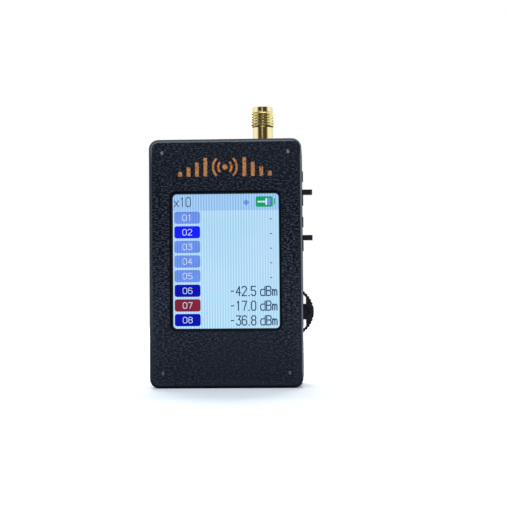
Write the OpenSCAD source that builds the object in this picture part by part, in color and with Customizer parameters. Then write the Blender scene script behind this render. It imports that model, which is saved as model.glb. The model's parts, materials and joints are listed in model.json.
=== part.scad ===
// Hand-held field strength meter.
// A deep front shell and a flat back cover hold a colour display, a circuit board and a flat
// battery. A threaded antenna socket stands on the top, two slide switches and a three-way jog
// lever work through the right side, and a charging socket opens on the left side.
// The origin is the centre of the bottom face. +X is right seen from the front, +Y runs from
// the front face to the back and +Z is up. Lengths are in millimetres.

/* [Case] */
// Width of the case
case_w = 40; // [39:0.5:60]
// Height of the case
case_h = 65; // [64:0.5:90]
// Depth of the case, front to back
case_d = 22; // [21.5:0.5:30]
// Thickness of the side walls
wall = 1.6; // [1.4:0.1:1.8]
// Thickness of the front face
face_t = 2; // [1.6:0.1:2.2]
// Thickness of the back cover
cover_t = 2; // [1.8:0.1:2.4]
// Radius of the four corners seen from the front
corner_r = 2.5; // [1.4:0.1:3]
// Radius of the rounded edge around the front and the back
edge_r = 0.8; // [0.4:0.1:1.2]
// Width of the chamfer on each side of the seam
seam_bevel = 0.2; // [0.1:0.05:0.4]
// Radius of the cavity's own corners
cavity_r = 0.5; // [0.3:0.1:1]
// Height of the back cover's locating lip
lip_h = 1.5; // [1:0.1:2]
// Thickness of the locating lip
lip_t = 1.2; // [0.8:0.1:1.4]
// Gap between the locating lip and the walls
lip_gap = 0.15; // [0.1:0.05:0.3]

/* [Case screws] */
// Distance of the screws from the case's sides and of the upper ones from its top
screw_inset = 3.5; // [3.4:0.05:3.8]
// Height of the lower screws above the bottom
lower_screw_z = 4; // [3.5:0.05:4.2]
// Radius of a screw's shaft
screw_r = 1; // [0.8:0.05:1.1]
// Radius of a screw's head
head_r = 1.9; // [1.5:0.05:2]
// Height of a screw's head
head_h = 1.2; // [0.8:0.1:1.3]
// How far the head sits below the back face
head_sunk = 0.2; // [0.1:0.05:0.3]
// How deep a screw bites into its column
screw_bite = 3; // [2:0.1:3.2]
// Radius of the columns behind the front face
column_r = 2.75; // [2.6:0.05:2.9]
// Gap between the cover's sleeves and the side walls
sleeve_gap = 0.2; // [0.2:0.05:0.3]
// Gap around a screw where it passes through
screw_gap = 0.15; // [0.1:0.05:0.2]
// Gap around a screw where it bites
bite_gap = 0.02; // [0.01:0.01:0.05]
// Width of the drive slots in a screw's head
drive_w = 0.5; // [0.4:0.05:0.6]
// Length of the drive slots
drive_l = 2.2; // [1.8:0.1:2.4]
// Depth of the drive slots
drive_depth = 0.7; // [0.4:0.05:0.7]
// Radius of the small dimples on the front
dimple_r = 0.6; // [0.4:0.05:0.8]
// Depth of the dimples
dimple_depth = 0.25; // [0.1:0.05:0.4]

/* [Engraved motif] */
// Height of the motif's middle above the bottom
motif_z = 57.6; // [56.6:0.1:58.2]
// Depth of the engraving
motif_depth = 0.3; // [0.1:0.05:0.5]
// Radius of the dot in the middle
dot_r = 0.8; // [0.5:0.05:1]
// Radius of the innermost wave arc, at its middle line
arc_r = 1.75; // [1.6:0.05:2]
// Width of a wave arc
arc_w = 0.75; // [0.5:0.05:0.9]
// Distance from one wave arc to the next
arc_step = 1.35; // [1.2:0.05:1.5]
// Number of wave arcs on each side of the dot
arc_count = 2; // [1:1:2]
// Half angle of a wave arc
arc_sweep = 48; // [30:1:55]
// Width of a bar
bar_w = 1.15; // [0.8:0.05:1.4]
// Distance from one bar to the next
bar_step = 2.2; // [1.8:0.05:2.3]
// Gap between the outermost wave arc and the first bar
bar_gap = 1.05; // [0.6:0.05:1.4]
// Height of the tallest bar
bar_h = 5; // [4.4:0.1:5.4]
// How much each bar is shorter than the one before it
bar_fall = 1.2; // [0.8:0.05:1.3]
// Number of bars on each side
bar_count = 4; // [2:1:4]

/* [Display] */
// Width of the window
window_w = 28.1; // [24:0.1:28.4]
// Height of the window
window_h = 35.5; // [30:0.1:36]
// Height of the window's middle above the bottom
window_z = 33.1; // [32.8:0.1:34]
// Radius of the window's corners
window_r = 1.15; // [0.6:0.05:2]
// Width of the sloped edge around the window
window_bevel = 0.45; // [0.2:0.05:0.8]
// Display panel showing past the window on the left and right
lcd_side = 3.1; // [2.4:0.1:3.2]
// Display panel above the window
lcd_top = 3; // [2.4:0.1:4]
// Display panel below the window
lcd_bottom = 7.6; // [6.6:0.1:7.8]
// Thickness of the rear glass
rear_glass_t = 0.7; // [0.5:0.05:0.8]
// Thickness of the front glass
front_glass_t = 0.6; // [0.5:0.05:0.8]
// Height of the bare ledge below the front glass
glass_ledge = 3; // [2.6:0.1:4]
// Thickness of the backlight
backlight_t = 1.2; // [1:0.1:1.6]
// How far the backlight stays inside the glass outline
backlight_inset = 0.2; // [0.1:0.05:0.4]
// Thickness of the foam frame between the display and the front face
gasket_t = 0.4; // [0.3:0.05:0.8]
// Width of the foam frame
gasket_w = 1.6; // [1:0.1:1.8]
// Distance of the foam frame from the window
gasket_margin = 0.8; // [0.6:0.05:1]
// Thickness of the foam pad between the backlight and the board
pad_t = 1; // [1:0.1:1.6]
// How far the foam pad stays inside the glass outline
pad_inset = 5; // [4:0.1:6]
// Length of the display driver chip
driver_l = 15; // [10:0.5:20]
// Height of the display driver chip
driver_h = 1.2; // [0.8:0.1:1.4]
// Thickness of the display driver chip
driver_t = 0.4; // [0.3:0.05:0.45]
// Width of the flexible ribbon
ribbon_w = 12; // [8:0.5:16]
// Thickness of the flexible ribbon
ribbon_t = 0.25; // [0.15:0.05:0.3]
// Straight run of the ribbon below the glass
ribbon_drop = 0.6; // [0.4:0.1:0.8]
// Length of the ribbon soldered to the board
ribbon_tail = 1.2; // [0.8:0.1:1.4]

/* [Circuit board] */
// Thickness of the board
board_t = 1.6; // [1.2:0.1:1.7]
// Gap between the board and the walls
board_gap = 0.3; // [0.2:0.05:0.5]
// Radius of the board's corners
board_r = 0.6; // [0.4:0.1:1]
// Side of the microcontroller's body
chip_w = 7; // [6:0.5:8]
// Thickness of the microcontroller's body
chip_t = 1.4; // [1:0.1:1.6]
// Pitch of the microcontroller's leads
lead_pitch = 0.8; // [0.7:0.05:0.8]
// Leads on each side of the microcontroller
leads_a_side = 8; // [6:1:8]
// Length of a lead past the body
lead_l = 1; // [0.6:0.1:1.2]
// Width of a lead
lead_w = 0.35; // [0.25:0.05:0.4]
// Thickness of a lead
lead_t = 0.2; // [0.15:0.05:0.3]
// Width of the radio shield can
shield_w = 9; // [7:0.1:9.4]
// Height of the radio shield can
shield_h = 11; // [9:0.1:11.4]
// Depth of the radio shield can
shield_d = 2.4; // [1.8:0.1:3]
// Sheet thickness of the radio shield can
shield_t = 0.3; // [0.2:0.05:0.4]
// Radius of the shield's vent holes
vent_r = 0.4; // [0.3:0.05:0.5]
// Pitch of the shield's vent holes
vent_pitch = 2; // [1.6:0.1:2.2]
// Side of the detector chip
detector_w = 3; // [2:0.1:4]
// Thickness of the detector chip
detector_t = 0.9; // [0.6:0.1:1.2]
// Length of the clock crystal
crystal_l = 3.2; // [2.5:0.1:4]
// Width of the clock crystal
crystal_w = 2.5; // [2:0.1:3]
// Thickness of the clock crystal
crystal_t = 0.8; // [0.6:0.1:1.2]
// Radius of the clock crystal's corners
crystal_r = 0.5; // [0.3:0.1:0.8]
// Length of the charger chip
charger_l = 3; // [2.6:0.1:4]
// Width of the charger chip
charger_w = 1.7; // [1.4:0.1:2]
// Thickness of the charger chip
charger_t = 1.1; // [0.9:0.1:1.4]
// Pitch of the charger chip's leads
charger_pitch = 0.95; // [0.8:0.05:1.1]
// Side of the coil's base
coil_w = 4; // [3:0.1:5]
// Thickness of the coil's base
coil_base_t = 0.4; // [0.3:0.1:0.6]
// Radius of the coil's drum
coil_r = 1.6; // [1:0.1:1.8]
// Height of the coil's drum
coil_h = 1.6; // [1:0.1:2]
// Length of a small passive part
passive_l = 1.6; // [1:0.1:1.8]
// Width of a small passive part
passive_w = 0.8; // [0.5:0.05:0.9]
// Thickness of a small passive part
passive_t = 0.5; // [0.4:0.05:0.8]
// Pitch of the rows of passive parts
passive_pitch = 2.2; // [2:0.1:2.4]

/* [Battery] */
// Width of the cell
cell_w = 28; // [20:0.5:29]
// Height of the cell
cell_h = 36; // [30:0.5:38]
// Thickness of the cell
cell_t = 5; // [4:0.1:5.6]
// Radius of the cell's long edges
cell_r = 1.8; // [1:0.1:1.9]
// Height of the cell's lower end above the bottom
cell_z = 10; // [9:0.5:11]
// Thickness of the adhesive pad behind the cell
adhesive_t = 0.6; // [0.4:0.1:1]
// How far the adhesive pad stays inside the cell's outline
adhesive_inset = 4; // [3:0.5:6]
// Width of the protection board on the cell
guard_w = 22; // [16:0.5:24]
// Height of the protection board
guard_h = 3; // [2:0.1:4]
// Thickness of the protection board
guard_t = 1.2; // [0.8:0.1:1.6]
// Radius of a battery lead
lead_r = 0.5; // [0.4:0.05:0.6]
// Distance between the two leads
lead_step = 2; // [1.5:0.1:2.4]
// Distance of the leads' middle from the left end of the protection board
lead_inset = 7; // [3:0.1:8]
// Width of the battery socket
jack_w = 6; // [5.6:0.1:7]
// Height of the battery socket
jack_h = 4.5; // [4:0.1:5]
// Depth of the battery socket
jack_d = 5; // [4:0.1:6]
// Wall of the battery socket
jack_wall = 0.6; // [0.4:0.05:0.8]
// Floor of the battery socket
jack_floor = 1; // [0.8:0.1:1.2]
// Gap between the plug and its socket
plug_gap = 0.1; // [0.05:0.05:0.2]
// How far the plug stands out of its socket
plug_out = 0.8; // [0.5:0.1:1]

/* [Antenna socket] */
// Distance of the socket's axis right of the middle
socket_x = 9.7; // [8:0.1:10]
// Height of the socket above the case
socket_h = 9.2; // [8.4:0.1:12]
// Radius over the thread's crests
thread_r = 3.175; // [3:0.005:3.2]
// Pitch of the thread
thread_pitch = 0.7; // [0.5:0.01:0.75]
// Depth of the thread
thread_depth = 0.4; // [0.25:0.01:0.43]
// Turns of the thread
thread_turns = 6; // [4:1:6]
// Width of the flat on each crest
crest_w = 0.1; // [0.05:0.01:0.15]
// Radius of the smooth neck and of the plain end
neck_r = 2.7; // [2.5:0.05:2.75]
// Length of the plain end above the thread
plain_end_h = 1.3; // [0.8:0.1:1.6]
// Radius of the socket's mouth
mouth_r = 2.3; // [2.2:0.05:2.35]
// Depth of the socket's mouth
mouth_depth = 1.95; // [1.5:0.05:2.5]
// Radius of the insulator
insulator_r = 2.05; // [1.8:0.05:2.15]
// Radius of the centre contact
contact_r = 0.635; // [0.6:0.005:0.7]
// Radius of the contact's own bore
contact_bore_r = 0.47; // [0.4:0.01:0.5]
// Depth of the contact's own bore
contact_bore_depth = 2.5; // [2:0.1:3]
// Radius of the contact's solder pin
solder_pin_r = 0.4; // [0.3:0.05:0.5]
// Length of the contact's solder pin
solder_pin_l = 3; // [2:0.1:3.2]
// Side of the square flange
flange_w = 6.4; // [6:0.1:6.5]
// Thickness of the square flange
flange_t = 1.6; // [1.2:0.1:2]
// Thickness of the flange's legs
leg_w = 0.9; // [0.6:0.1:1]
// Length of the flange's legs
leg_l = 3.8; // [3:0.1:4.2]
// Gap around the socket where it passes through the case
socket_gap = 0.125; // [0.1:0.005:0.2]

/* [Slide switches] */
// Height of the upper switch's middle
upper_switch_z = 52.5; // [51.6:0.1:52.8]
// Height of the lower switch's middle
lower_switch_z = 40.35; // [39:0.05:40.6]
// Length of a switch body
switch_l = 9.1; // [8.8:0.1:9.6]
// Depth of a switch body behind the wall
switch_d = 3.8; // [3.4:0.1:4]
// Thickness of a switch body
switch_t = 3.6; // [3.4:0.1:4]
// How far a switch body's shoulders stand out of the wall
shoulder_out = 0.3; // [0.1:0.05:0.5]
// Thickness of the shoulders
shoulder_t = 2.6; // [2.4:0.1:3]
// Travel of a slider
switch_travel = 2; // [1.5:0.1:2.2]
// Height of a slider's lever
lever_w = 1.4; // [1.2:0.05:1.6]
// Thickness of a slider's lever
lever_t = 1.9; // [1.6:0.05:2]
// How far a lever stands out of the case
lever_out = 2.7; // [1.5:0.1:3]
// Length of a slider's foot
foot_l = 3.4; // [3:0.1:3.6]
// Depth of a slider's foot
foot_d = 2.2; // [1.8:0.1:2.4]
// Thickness of a slider's foot
foot_t = 2.2; // [2.2:0.05:2.4]
// Front plate of a switch body
plate_t = 0.4; // [0.3:0.05:0.6]
// Gap around a slider
slider_gap = 0.12; // [0.08:0.01:0.15]
// Gap around a switch body in its slot
switch_gap = 0.1; // [0.05:0.01:0.2]
// Radius of a switch terminal
terminal_r = 0.35; // [0.25:0.05:0.4]
// Pitch of the switch terminals
terminal_pitch = 2.5; // [2:0.1:3]
// Distance of a terminal from the back of its switch body
terminal_edge = 0.4; // [0.2:0.05:0.8]
// How far a terminal stands out in front of the board
terminal_out = 0.6; // [0.3:0.05:0.7]
// Gap around a terminal in the board
terminal_gap = 0.15; // [0.1:0.05:0.2]

/* [Jog lever] */
// Height of the jog lever's pivot
jog_z = 19.65; // [19:0.05:21]
// Radius of the jog lever's rim
jog_r = 6.95; // [6.5:0.05:7.1]
// How far the jog lever stands out of the case
jog_out = 2.85; // [2.4:0.05:3]
// Thickness of the jog lever
jog_t = 2.2; // [1.6:0.1:2.4]
// Width of the jog lever's rim
jog_rim = 0.8; // [0.6:0.05:1]
// Width of the arm between hub and rim
jog_arm_w = 4.2; // [3:0.1:4.4]
// Distance of the thumb pad's inner edge inside the rim
jog_pad = 2.1; // [1.6:0.05:2.2]
// Radius of the round dish in the arm's front
jog_dish_r = 1.45; // [1:0.05:1.8]
// Depth of the dish
jog_dish_depth = 0.4; // [0.2:0.05:0.8]
// Distance of the dish's middle inside the rim
jog_dish_in = 2.5; // [2.4:0.05:3]
// Half angle of the rim
jog_sweep = 72; // [66:1:76]
// Radius of the hub
jog_hub_r = 2; // [1.8:0.05:2.2]
// Length of the tail behind the pivot
jog_tail_l = 3.6; // [3.2:0.1:3.7]
// Width of the tail
jog_tail_w = 1.2; // [1:0.05:1.3]
// Angle between two grip notches
notch_step = 7.7; // [6:0.1:9]
// Radius of a grip notch
notch_r = 0.3; // [0.2:0.05:0.35]
// Depth of a grip notch
notch_depth = 0.18; // [0.1:0.02:0.2]
// Number of notches counted from the middle to each end
notch_count = 8; // [5:1:8]
// Radius of the pivot pin
pivot_r = 0.9; // [0.7:0.05:1]
// Gap between the pivot pin and the lever
pivot_gap = 0.05; // [0.02:0.01:0.08]
// Gap between the pivot pin and the carrier
press_gap = 0.01; // [0.005:0.005:0.02]
// Travel of the push
jog_travel = 0.5; // [0.3:0.05:0.6]
// Thickness of the base's floor
base_t = 0.6; // [0.5:0.05:0.8]
// Thickness of the carrier
carrier_t = 1; // [0.8:0.05:1.2]
// Width of the carrier
carrier_w = 6.8; // [6:0.1:7.2]
// Length of the carrier behind the pivot
carrier_l = 5.8; // [5.7:0.1:6]
// Length of the carrier in front of the pivot
carrier_nose = 1.5; // [1.3:0.05:1.6]
// Width of the rails beside the carrier
rail_w = 1.1; // [0.8:0.1:1.4]
// Gap around the carrier
carrier_gap = 0.1; // [0.05:0.01:0.12]
// Gap below and above the jog lever
jog_gap = 0.2; // [0.15:0.05:0.3]
// Gap between the jog lever and its slot
jog_slot_gap = 0.3; // [0.2:0.05:0.4]
// Thickness of the spring strip
spring_t = 0.25; // [0.2:0.05:0.3]
// Gap inside the spring
spring_gap = 0.15; // [0.1:0.05:0.2]
// Height of the spring strip
spring_h = 0.8; // [0.5:0.1:1]
// Distance of the spring's post behind the pivot
post_x = 4.6; // [4.5:0.05:4.7]
// Radius of the nub that presses the dome
nub_r = 0.5; // [0.4:0.05:0.6]
// Length of the nub
nub_l = 0.8; // [0.6:0.05:1]
// Radius of the snap dome
dome_r = 1; // [0.8:0.05:1.05]
// Height of the snap dome
dome_h = 0.5; // [0.4:0.05:0.6]
// Gap between the nub and the dome
dome_gap = 0.05; // [0.03:0.01:0.08]
// Thickness of the base's rear wall
rear_wall_t = 1; // [0.8:0.1:1.2]
// Thickness of the retaining clip
clip_t = 0.25; // [0.2:0.05:0.3]
// Radius of the retaining clip
clip_r = 1.7; // [1.5:0.05:1.8]
// Gap between the clip and the lever
clip_gap = 0.05; // [0.03:0.01:0.08]

/* [Charging socket] */
// Height of the charging socket's middle
usb_z = 16; // [15.5:0.1:17]
// Width of the socket's shell
usb_w = 8.94; // [8.9:0.01:9]
// Thickness of the socket's shell
usb_t = 3.26; // [3.2:0.01:3.3]
// Length of the socket's shell
usb_l = 7.3; // [6.8:0.1:7.6]
// Sheet thickness of the shell
usb_sheet = 0.3; // [0.25:0.01:0.3]
// Radius of the shell's ends
usb_r = 1.2; // [1:0.05:1.5]
// How far the shell's mouth lies inside the case's side
usb_inset = 0.3; // [0.1:0.05:0.6]
// Gap around the shell in the case
usb_gap = 0.2; // [0.1:0.05:0.3]
// Width of the tongue
tongue_w = 6.7; // [6.6:0.01:6.8]
// Thickness of the tongue
tongue_t = 0.7; // [0.65:0.01:0.75]
// Length of the tongue
tongue_l = 4.5; // [4.4:0.1:5]
// Depth of the block behind the tongue
tongue_block = 1.2; // [1:0.1:1.6]

/* [Hidden] */
$fn = 64;
// Extra length that carries a cut clear of a surface
cut = 0.5;
// Depth by which two shapes of one piece reach into each other
sink = 0.4;
// Gap between the switch bodies and the inside of the wall
seat_gap = 0.05;
// Gap between the board's notch and the socket's flange
notch_gap = 0.1;
// Gap between the shield can and its neighbours
shield_gap = 0.4;

// Depth levels, front to back
front_y = -case_d / 2;
back_y = case_d / 2;
inner_y = front_y + face_t;
cover_y = back_y - cover_t;
lcd_y = inner_y + gasket_t;
rear_glass_y = lcd_y + front_glass_t;
backlight_y = rear_glass_y + rear_glass_t;
pad_y = backlight_y + backlight_t;
board_front_y = pad_y + pad_t;
board_y = board_front_y + board_t;

// Case and screws
side_x = case_w / 2;
inner_x = side_x - wall;
cavity_w = case_w - 2 * wall;
cavity_h = case_h - 2 * wall;
screw_spots = [for (x = [screw_inset - side_x, side_x - screw_inset],
                    z = [lower_screw_z, case_h - screw_inset]) [x, z]];
sleeve_r = screw_inset - wall - sleeve_gap;
head_y = back_y - head_sunk - head_h;

// Display
lcd_w = window_w + 2 * lcd_side;
lcd_z0 = window_z - window_h / 2 - lcd_bottom;
lcd_z1 = window_z + window_h / 2 + lcd_top;
ribbon_y = rear_glass_y + rear_glass_t / 2;
ribbon_bend = (board_front_y - ribbon_t / 2 - ribbon_y) / 2;

// Circuit board
board_w = cavity_w - 2 * board_gap;
board_h = cavity_h - 2 * board_gap;
chip_x = -3;
chip_z = 34;
crystal_x = chip_x - chip_w / 2 - lead_l - crystal_w;
charger_x = -5;
charger_z = 20;
coil_x = 1;
coil_z = 12;
passive_rows = [[-6.5, 26], [-6.5, 42], [-6.5, 45]];
passive_count = 4;

// Antenna socket
socket_y = board_y + solder_pin_r;
flange_z = case_h - wall - flange_t;
socket_top = case_h + socket_h;
thread_top = socket_top - plain_end_h;
insulator_top = socket_top - mouth_depth;

// Battery
cell_back_y = cover_y - adhesive_t;
cell_y = cell_back_y - cell_t;
cell_mid_y = cell_y + cell_t / 2;
cell_top = cell_z + cell_h;
jack_x = -9;
jack_z = 56;
plug_back_y = board_y + jack_d + plug_out;
lead_start_x = lead_inset - guard_w / 2;
lead_rise = 4;
lead_reach = 3.5;
lead_rings = 18;
lead_sides = 8;

// Slide switches
switch_y = board_y + switch_t / 2;
switch_front_x = inner_x - seat_gap;
switch_back_x = switch_front_x - switch_d;
channel_l = lever_w + switch_travel + 2 * slider_gap;
foot_x = switch_front_x - plate_t - slider_gap - foot_d;
terminal_x = switch_back_x + terminal_edge + terminal_r;
terminal_spots = [for (middle = [upper_switch_z, lower_switch_z], step = [-1, 0, 1])
                  [terminal_x, middle + step * terminal_pitch]];

// Radio shield, beside the upper switch and below the antenna socket
shield_x = switch_back_x - shield_gap - shield_w;
shield_z = flange_z - leg_l - shield_gap - shield_h;
shield_mid = [shield_x + shield_w / 2, shield_z + shield_h / 2];

// Jog lever
jog_x = side_x + jog_out - jog_r;
carrier_y = board_y + base_t + carrier_gap;
jog_y = carrier_y + carrier_t + jog_gap;
clip_y = jog_y + jog_t + clip_gap;
pivot_top_y = clip_y + clip_t + clip_gap;
dome_x = -carrier_l - nub_l - dome_gap - dome_h;
base_w = carrier_w + 2 * carrier_gap + 2 * rail_w;
post_r = jog_tail_w / 2;
spring_r = post_r + spring_gap;
jog_slot_h = 2 * (sqrt(pow(jog_r, 2) - pow(inner_x - jog_x, 2)) + jog_slot_gap);

// Charging socket
usb_y = board_y + usb_t / 2;
usb_mouth_x = usb_inset - side_x;

// Colours
case_colour = "#1f2631";
board_colour = "#1d5a3a";
chip_colour = "#17181b";
gold = "#d8b45c";
steel = "#b9bcc0";
tin = "#cfd2d4";
black_plastic = "#1c1e26";

// A box between two corners
module slab(low, high) {
    translate(low)
        cube(high - low);
}

// A round bar along Y
module y_rod(x, z, r, y0, y1) {
    translate([x, y1, z])
        rotate([90, 0, 0])
            cylinder(r = r, h = y1 - y0);
}

// A round bar along X
module x_rod(y, z, r, x0, x1) {
    translate([x0, y, z])
        rotate([0, 90, 0])
            cylinder(r = r, h = x1 - x0);
}

// A flat outline in X and Z, given depth along Y
module face_prism(y0, y1) {
    translate([0, y1, 0])
        rotate([90, 0, 0])
            linear_extrude(y1 - y0)
                children();
}

// A flat outline in Y and Z, given depth along X
module side_prism(x0, x1) {
    translate([x0, 0, 0])
        rotate([90, 0, 90])
            linear_extrude(x1 - x0)
                children();
}

// A rectangle with round corners, made of crossed bars and quarter discs
module rounded_rect(w, h, r) {
    square([w - 2 * r, h], center = true);
    square([w, h - 2 * r], center = true);
    for (sx = [-1, 1], sz = [-1, 1])
        translate([sx * (w / 2 - r), sz * (h / 2 - r)])
            intersection() {
                circle(r);
                translate([sx > 0 ? 0 : -r, sz > 0 ? 0 : -r])
                    square(r);
            }
}

// A block with round corners, lying face up, swept from a profile that runs outwards from
// the corner centres and upwards
module swept_block(w, h, r, depth) {
    core_w = w - 2 * r;
    core_h = h - 2 * r;
    translate([-core_w / 2, -core_h / 2, 0])
        cube([core_w, core_h, depth]);
    for (turn = [0, 180])
        rotate(turn) {
            translate([core_w / 2, core_h / 2, 0])
                rotate([90, 0, 0])
                    linear_extrude(core_h)
                        children();
            translate([-core_w / 2, core_h / 2, 0])
                rotate([90, 0, 90])
                    linear_extrude(core_w)
                        children();
        }
    for (corner = [[1, 1, 0], [-1, 1, 90], [-1, -1, 180], [1, -1, 270]])
        translate([corner[0] * core_w / 2, corner[1] * core_h / 2, 0])
            rotate(corner[2])
                rotate_extrude(angle = 90)
                    children();
}

// Profile of the case's side, with a chamfer at the seam and a rounded outer edge
module edge_profile(depth) {
    polygon([
        [0, 0],
        [corner_r - seam_bevel, 0],
        [corner_r, seam_bevel],
        [corner_r, depth - edge_r],
        [0, depth - edge_r]
    ]);
    translate([0, depth - edge_r])
        square([corner_r - edge_r, edge_r]);
    translate([corner_r - edge_r, depth - edge_r])
        intersection() {
            circle(edge_r);
            square(edge_r);
        }
}

// A flat piece lying on the back of the board, around a middle point
module board_block(x, z, w, h, t) {
    slab([x - w / 2, board_y, z - h / 2], [x + w / 2, board_y + t, z + h / 2]);
}

// The window through the front face, with its sloped edge
module window_cut() {
    face_prism(front_y - cut, inner_y + cut)
        translate([0, window_z])
            rounded_rect(window_w, window_h, window_r);
    translate([0, front_y + window_bevel, window_z])
        rotate([90, 0, 0])
            swept_block(window_w, window_h, window_r, window_bevel + cut)
                polygon([
                    [0, 0],
                    [window_r, 0],
                    [window_r + window_bevel + cut, window_bevel + cut],
                    [0, window_bevel + cut]
                ]);
}

// A sector around a point, open to the right by an angle on each side
module sector(sweep, reach) {
    polygon(concat(
        [[0, 0]],
        [for (share = [-1, -1 / 3, 1 / 3, 1]) reach * [cos(share * sweep), sin(share * sweep)]]
    ));
}

// Motif above the window: a dot that sends waves to both sides, with bars that fall outwards
module motif_outline() {
    waves_r = arc_r + (arc_count - 1) * arc_step + arc_w / 2;
    first_bar = waves_r + bar_gap;
    circle(dot_r);
    for (side = [0, 180], i = [0 : arc_count - 1])
        rotate(side)
            intersection() {
                difference() {
                    circle(arc_r + i * arc_step + arc_w / 2);
                    circle(arc_r + i * arc_step - arc_w / 2);
                }
                sector(arc_sweep, 2 * waves_r);
            }
    for (side = [-1, 1], i = [0 : bar_count - 1])
        translate([side * (first_bar + bar_w / 2 + i * bar_step) - bar_w / 2, -bar_h / 2])
            square([bar_w, bar_h - i * bar_fall]);
}

// The slots for the switches, the jog lever and the charging socket
module side_cuts() {
    for (z = [upper_switch_z, lower_switch_z])
        slab([inner_x - cut, switch_y - shoulder_t / 2 - switch_gap, z - switch_l / 2 - switch_gap],
             [side_x + cut, switch_y + shoulder_t / 2 + switch_gap, z + switch_l / 2 + switch_gap]);
    slab([inner_x - cut, jog_y - jog_slot_gap, jog_z - jog_slot_h / 2],
         [side_x + cut, jog_y + jog_t + jog_slot_gap, jog_z + jog_slot_h / 2]);
    side_prism(-side_x - cut, cut - inner_x)
        translate([usb_y, usb_z])
            rounded_rect(usb_t + 2 * usb_gap, usb_w + 2 * usb_gap, usb_r + usb_gap);
}

module front_case() {
    color(case_colour)
        difference() {
            union() {
                difference() {
                    translate([0, cover_y, case_h / 2])
                        rotate([90, 0, 0])
                            swept_block(case_w, case_h, corner_r, cover_y - front_y)
                                edge_profile(cover_y - front_y);
                    face_prism(inner_y, cover_y + cut)
                        translate([0, case_h / 2])
                            rounded_rect(cavity_w, cavity_h, cavity_r);
                }
                for (spot = screw_spots)
                    y_rod(spot[0], spot[1], column_r, inner_y - sink, board_front_y);
            }
            window_cut();
            side_cuts();
            face_prism(front_y - cut, front_y + motif_depth)
                translate([0, motif_z])
                    motif_outline();
            translate([socket_x, socket_y, case_h - wall - cut])
                cylinder(r = thread_r + socket_gap, h = wall + 2 * cut);
            for (spot = screw_spots) {
                y_rod(spot[0], spot[1], screw_r + bite_gap, board_front_y - screw_bite - sink,
                      board_front_y + cut);
                y_rod(spot[0], spot[1], dimple_r, front_y - cut, front_y + dimple_depth);
            }
        }
}

module back_cover() {
    color(case_colour)
        difference() {
            union() {
                translate([0, cover_y, case_h / 2])
                    rotate([-90, 0, 0])
                        swept_block(case_w, case_h, corner_r, cover_t)
                            edge_profile(cover_t);
                face_prism(cover_y - lip_h, cover_y + sink)
                    translate([0, case_h / 2])
                        difference() {
                            rounded_rect(cavity_w - 2 * lip_gap, cavity_h - 2 * lip_gap, cavity_r);
                            square([cavity_w - 2 * lip_gap - 2 * lip_t,
                                    cavity_h - 2 * lip_gap - 2 * lip_t], center = true);
                        }
                for (spot = screw_spots)
                    y_rod(spot[0], spot[1], sleeve_r, board_y, cover_y + sink);
            }
            for (spot = screw_spots) {
                y_rod(spot[0], spot[1], screw_r + screw_gap, board_y - cut, back_y + cut);
                y_rod(spot[0], spot[1], head_r + screw_gap, head_y, back_y + cut);
            }
        }
}

module case_screws() {
    color(steel)
        for (spot = screw_spots)
            difference() {
                union() {
                    y_rod(spot[0], spot[1], screw_r, board_front_y - screw_bite, head_y + sink);
                    y_rod(spot[0], spot[1], head_r, head_y, head_y + head_h);
                }
                for (size = [[drive_l, drive_w], [drive_w, drive_l]])
                    slab([spot[0] - size[0] / 2, head_y + head_h - drive_depth, spot[1] - size[1] / 2],
                         [spot[0] + size[0] / 2, head_y + head_h + cut, spot[1] + size[1] / 2]);
            }
}

module display_gasket() {
    hole_w = window_w + 2 * gasket_margin;
    hole_h = window_h + 2 * gasket_margin;
    color("#26282c")
        face_prism(inner_y, lcd_y)
            translate([0, window_z])
                difference() {
                    square([hole_w + 2 * gasket_w, hole_h + 2 * gasket_w], center = true);
                    square([hole_w, hole_h], center = true);
                }
}

module lcd_panel() {
    color("#b1daf2") {
        slab([-lcd_w / 2, lcd_y, lcd_z0 + glass_ledge], [lcd_w / 2, rear_glass_y, lcd_z1]);
        slab([-lcd_w / 2, rear_glass_y, lcd_z0], [lcd_w / 2, backlight_y, lcd_z1]);
    }
}

module lcd_driver() {
    middle = lcd_z0 + glass_ledge / 2;
    color(chip_colour)
        slab([-driver_l / 2, rear_glass_y - driver_t, middle - driver_h / 2],
             [driver_l / 2, rear_glass_y, middle + driver_h / 2]);
}

module lcd_backlight() {
    color("#e8e6df")
        slab([backlight_inset - lcd_w / 2, backlight_y, lcd_z0 + backlight_inset],
             [lcd_w / 2 - backlight_inset, pad_y, lcd_z1 - backlight_inset]);
}

// Quarter of a bent strip of the ribbon, drawn around the bend's centre
module ribbon_quarter() {
    intersection() {
        difference() {
            circle(ribbon_bend + ribbon_t / 2);
            circle(ribbon_bend - ribbon_t / 2);
        }
        square(2 * ribbon_bend);
    }
}

module lcd_ribbon() {
    bend_z = lcd_z0 - ribbon_drop;
    low_z = bend_z - 2 * ribbon_bend;
    far_y = ribbon_y + 2 * ribbon_bend;
    color("#c98a3a")
        side_prism(-ribbon_w / 2, ribbon_w / 2) {
            translate([ribbon_y - ribbon_t / 2, bend_z])
                square([ribbon_t, ribbon_drop]);
            translate([ribbon_y + ribbon_bend, bend_z])
                rotate(180)
                    ribbon_quarter();
            translate([ribbon_y + ribbon_bend, low_z])
                ribbon_quarter();
            translate([far_y - ribbon_t / 2, low_z - ribbon_tail])
                square([ribbon_t, ribbon_tail]);
        }
}

module display_pad() {
    color("#2d2f34")
        slab([pad_inset - lcd_w / 2, pad_y, lcd_z0 + pad_inset],
             [lcd_w / 2 - pad_inset, board_front_y, lcd_z1 - pad_inset]);
}

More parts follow.
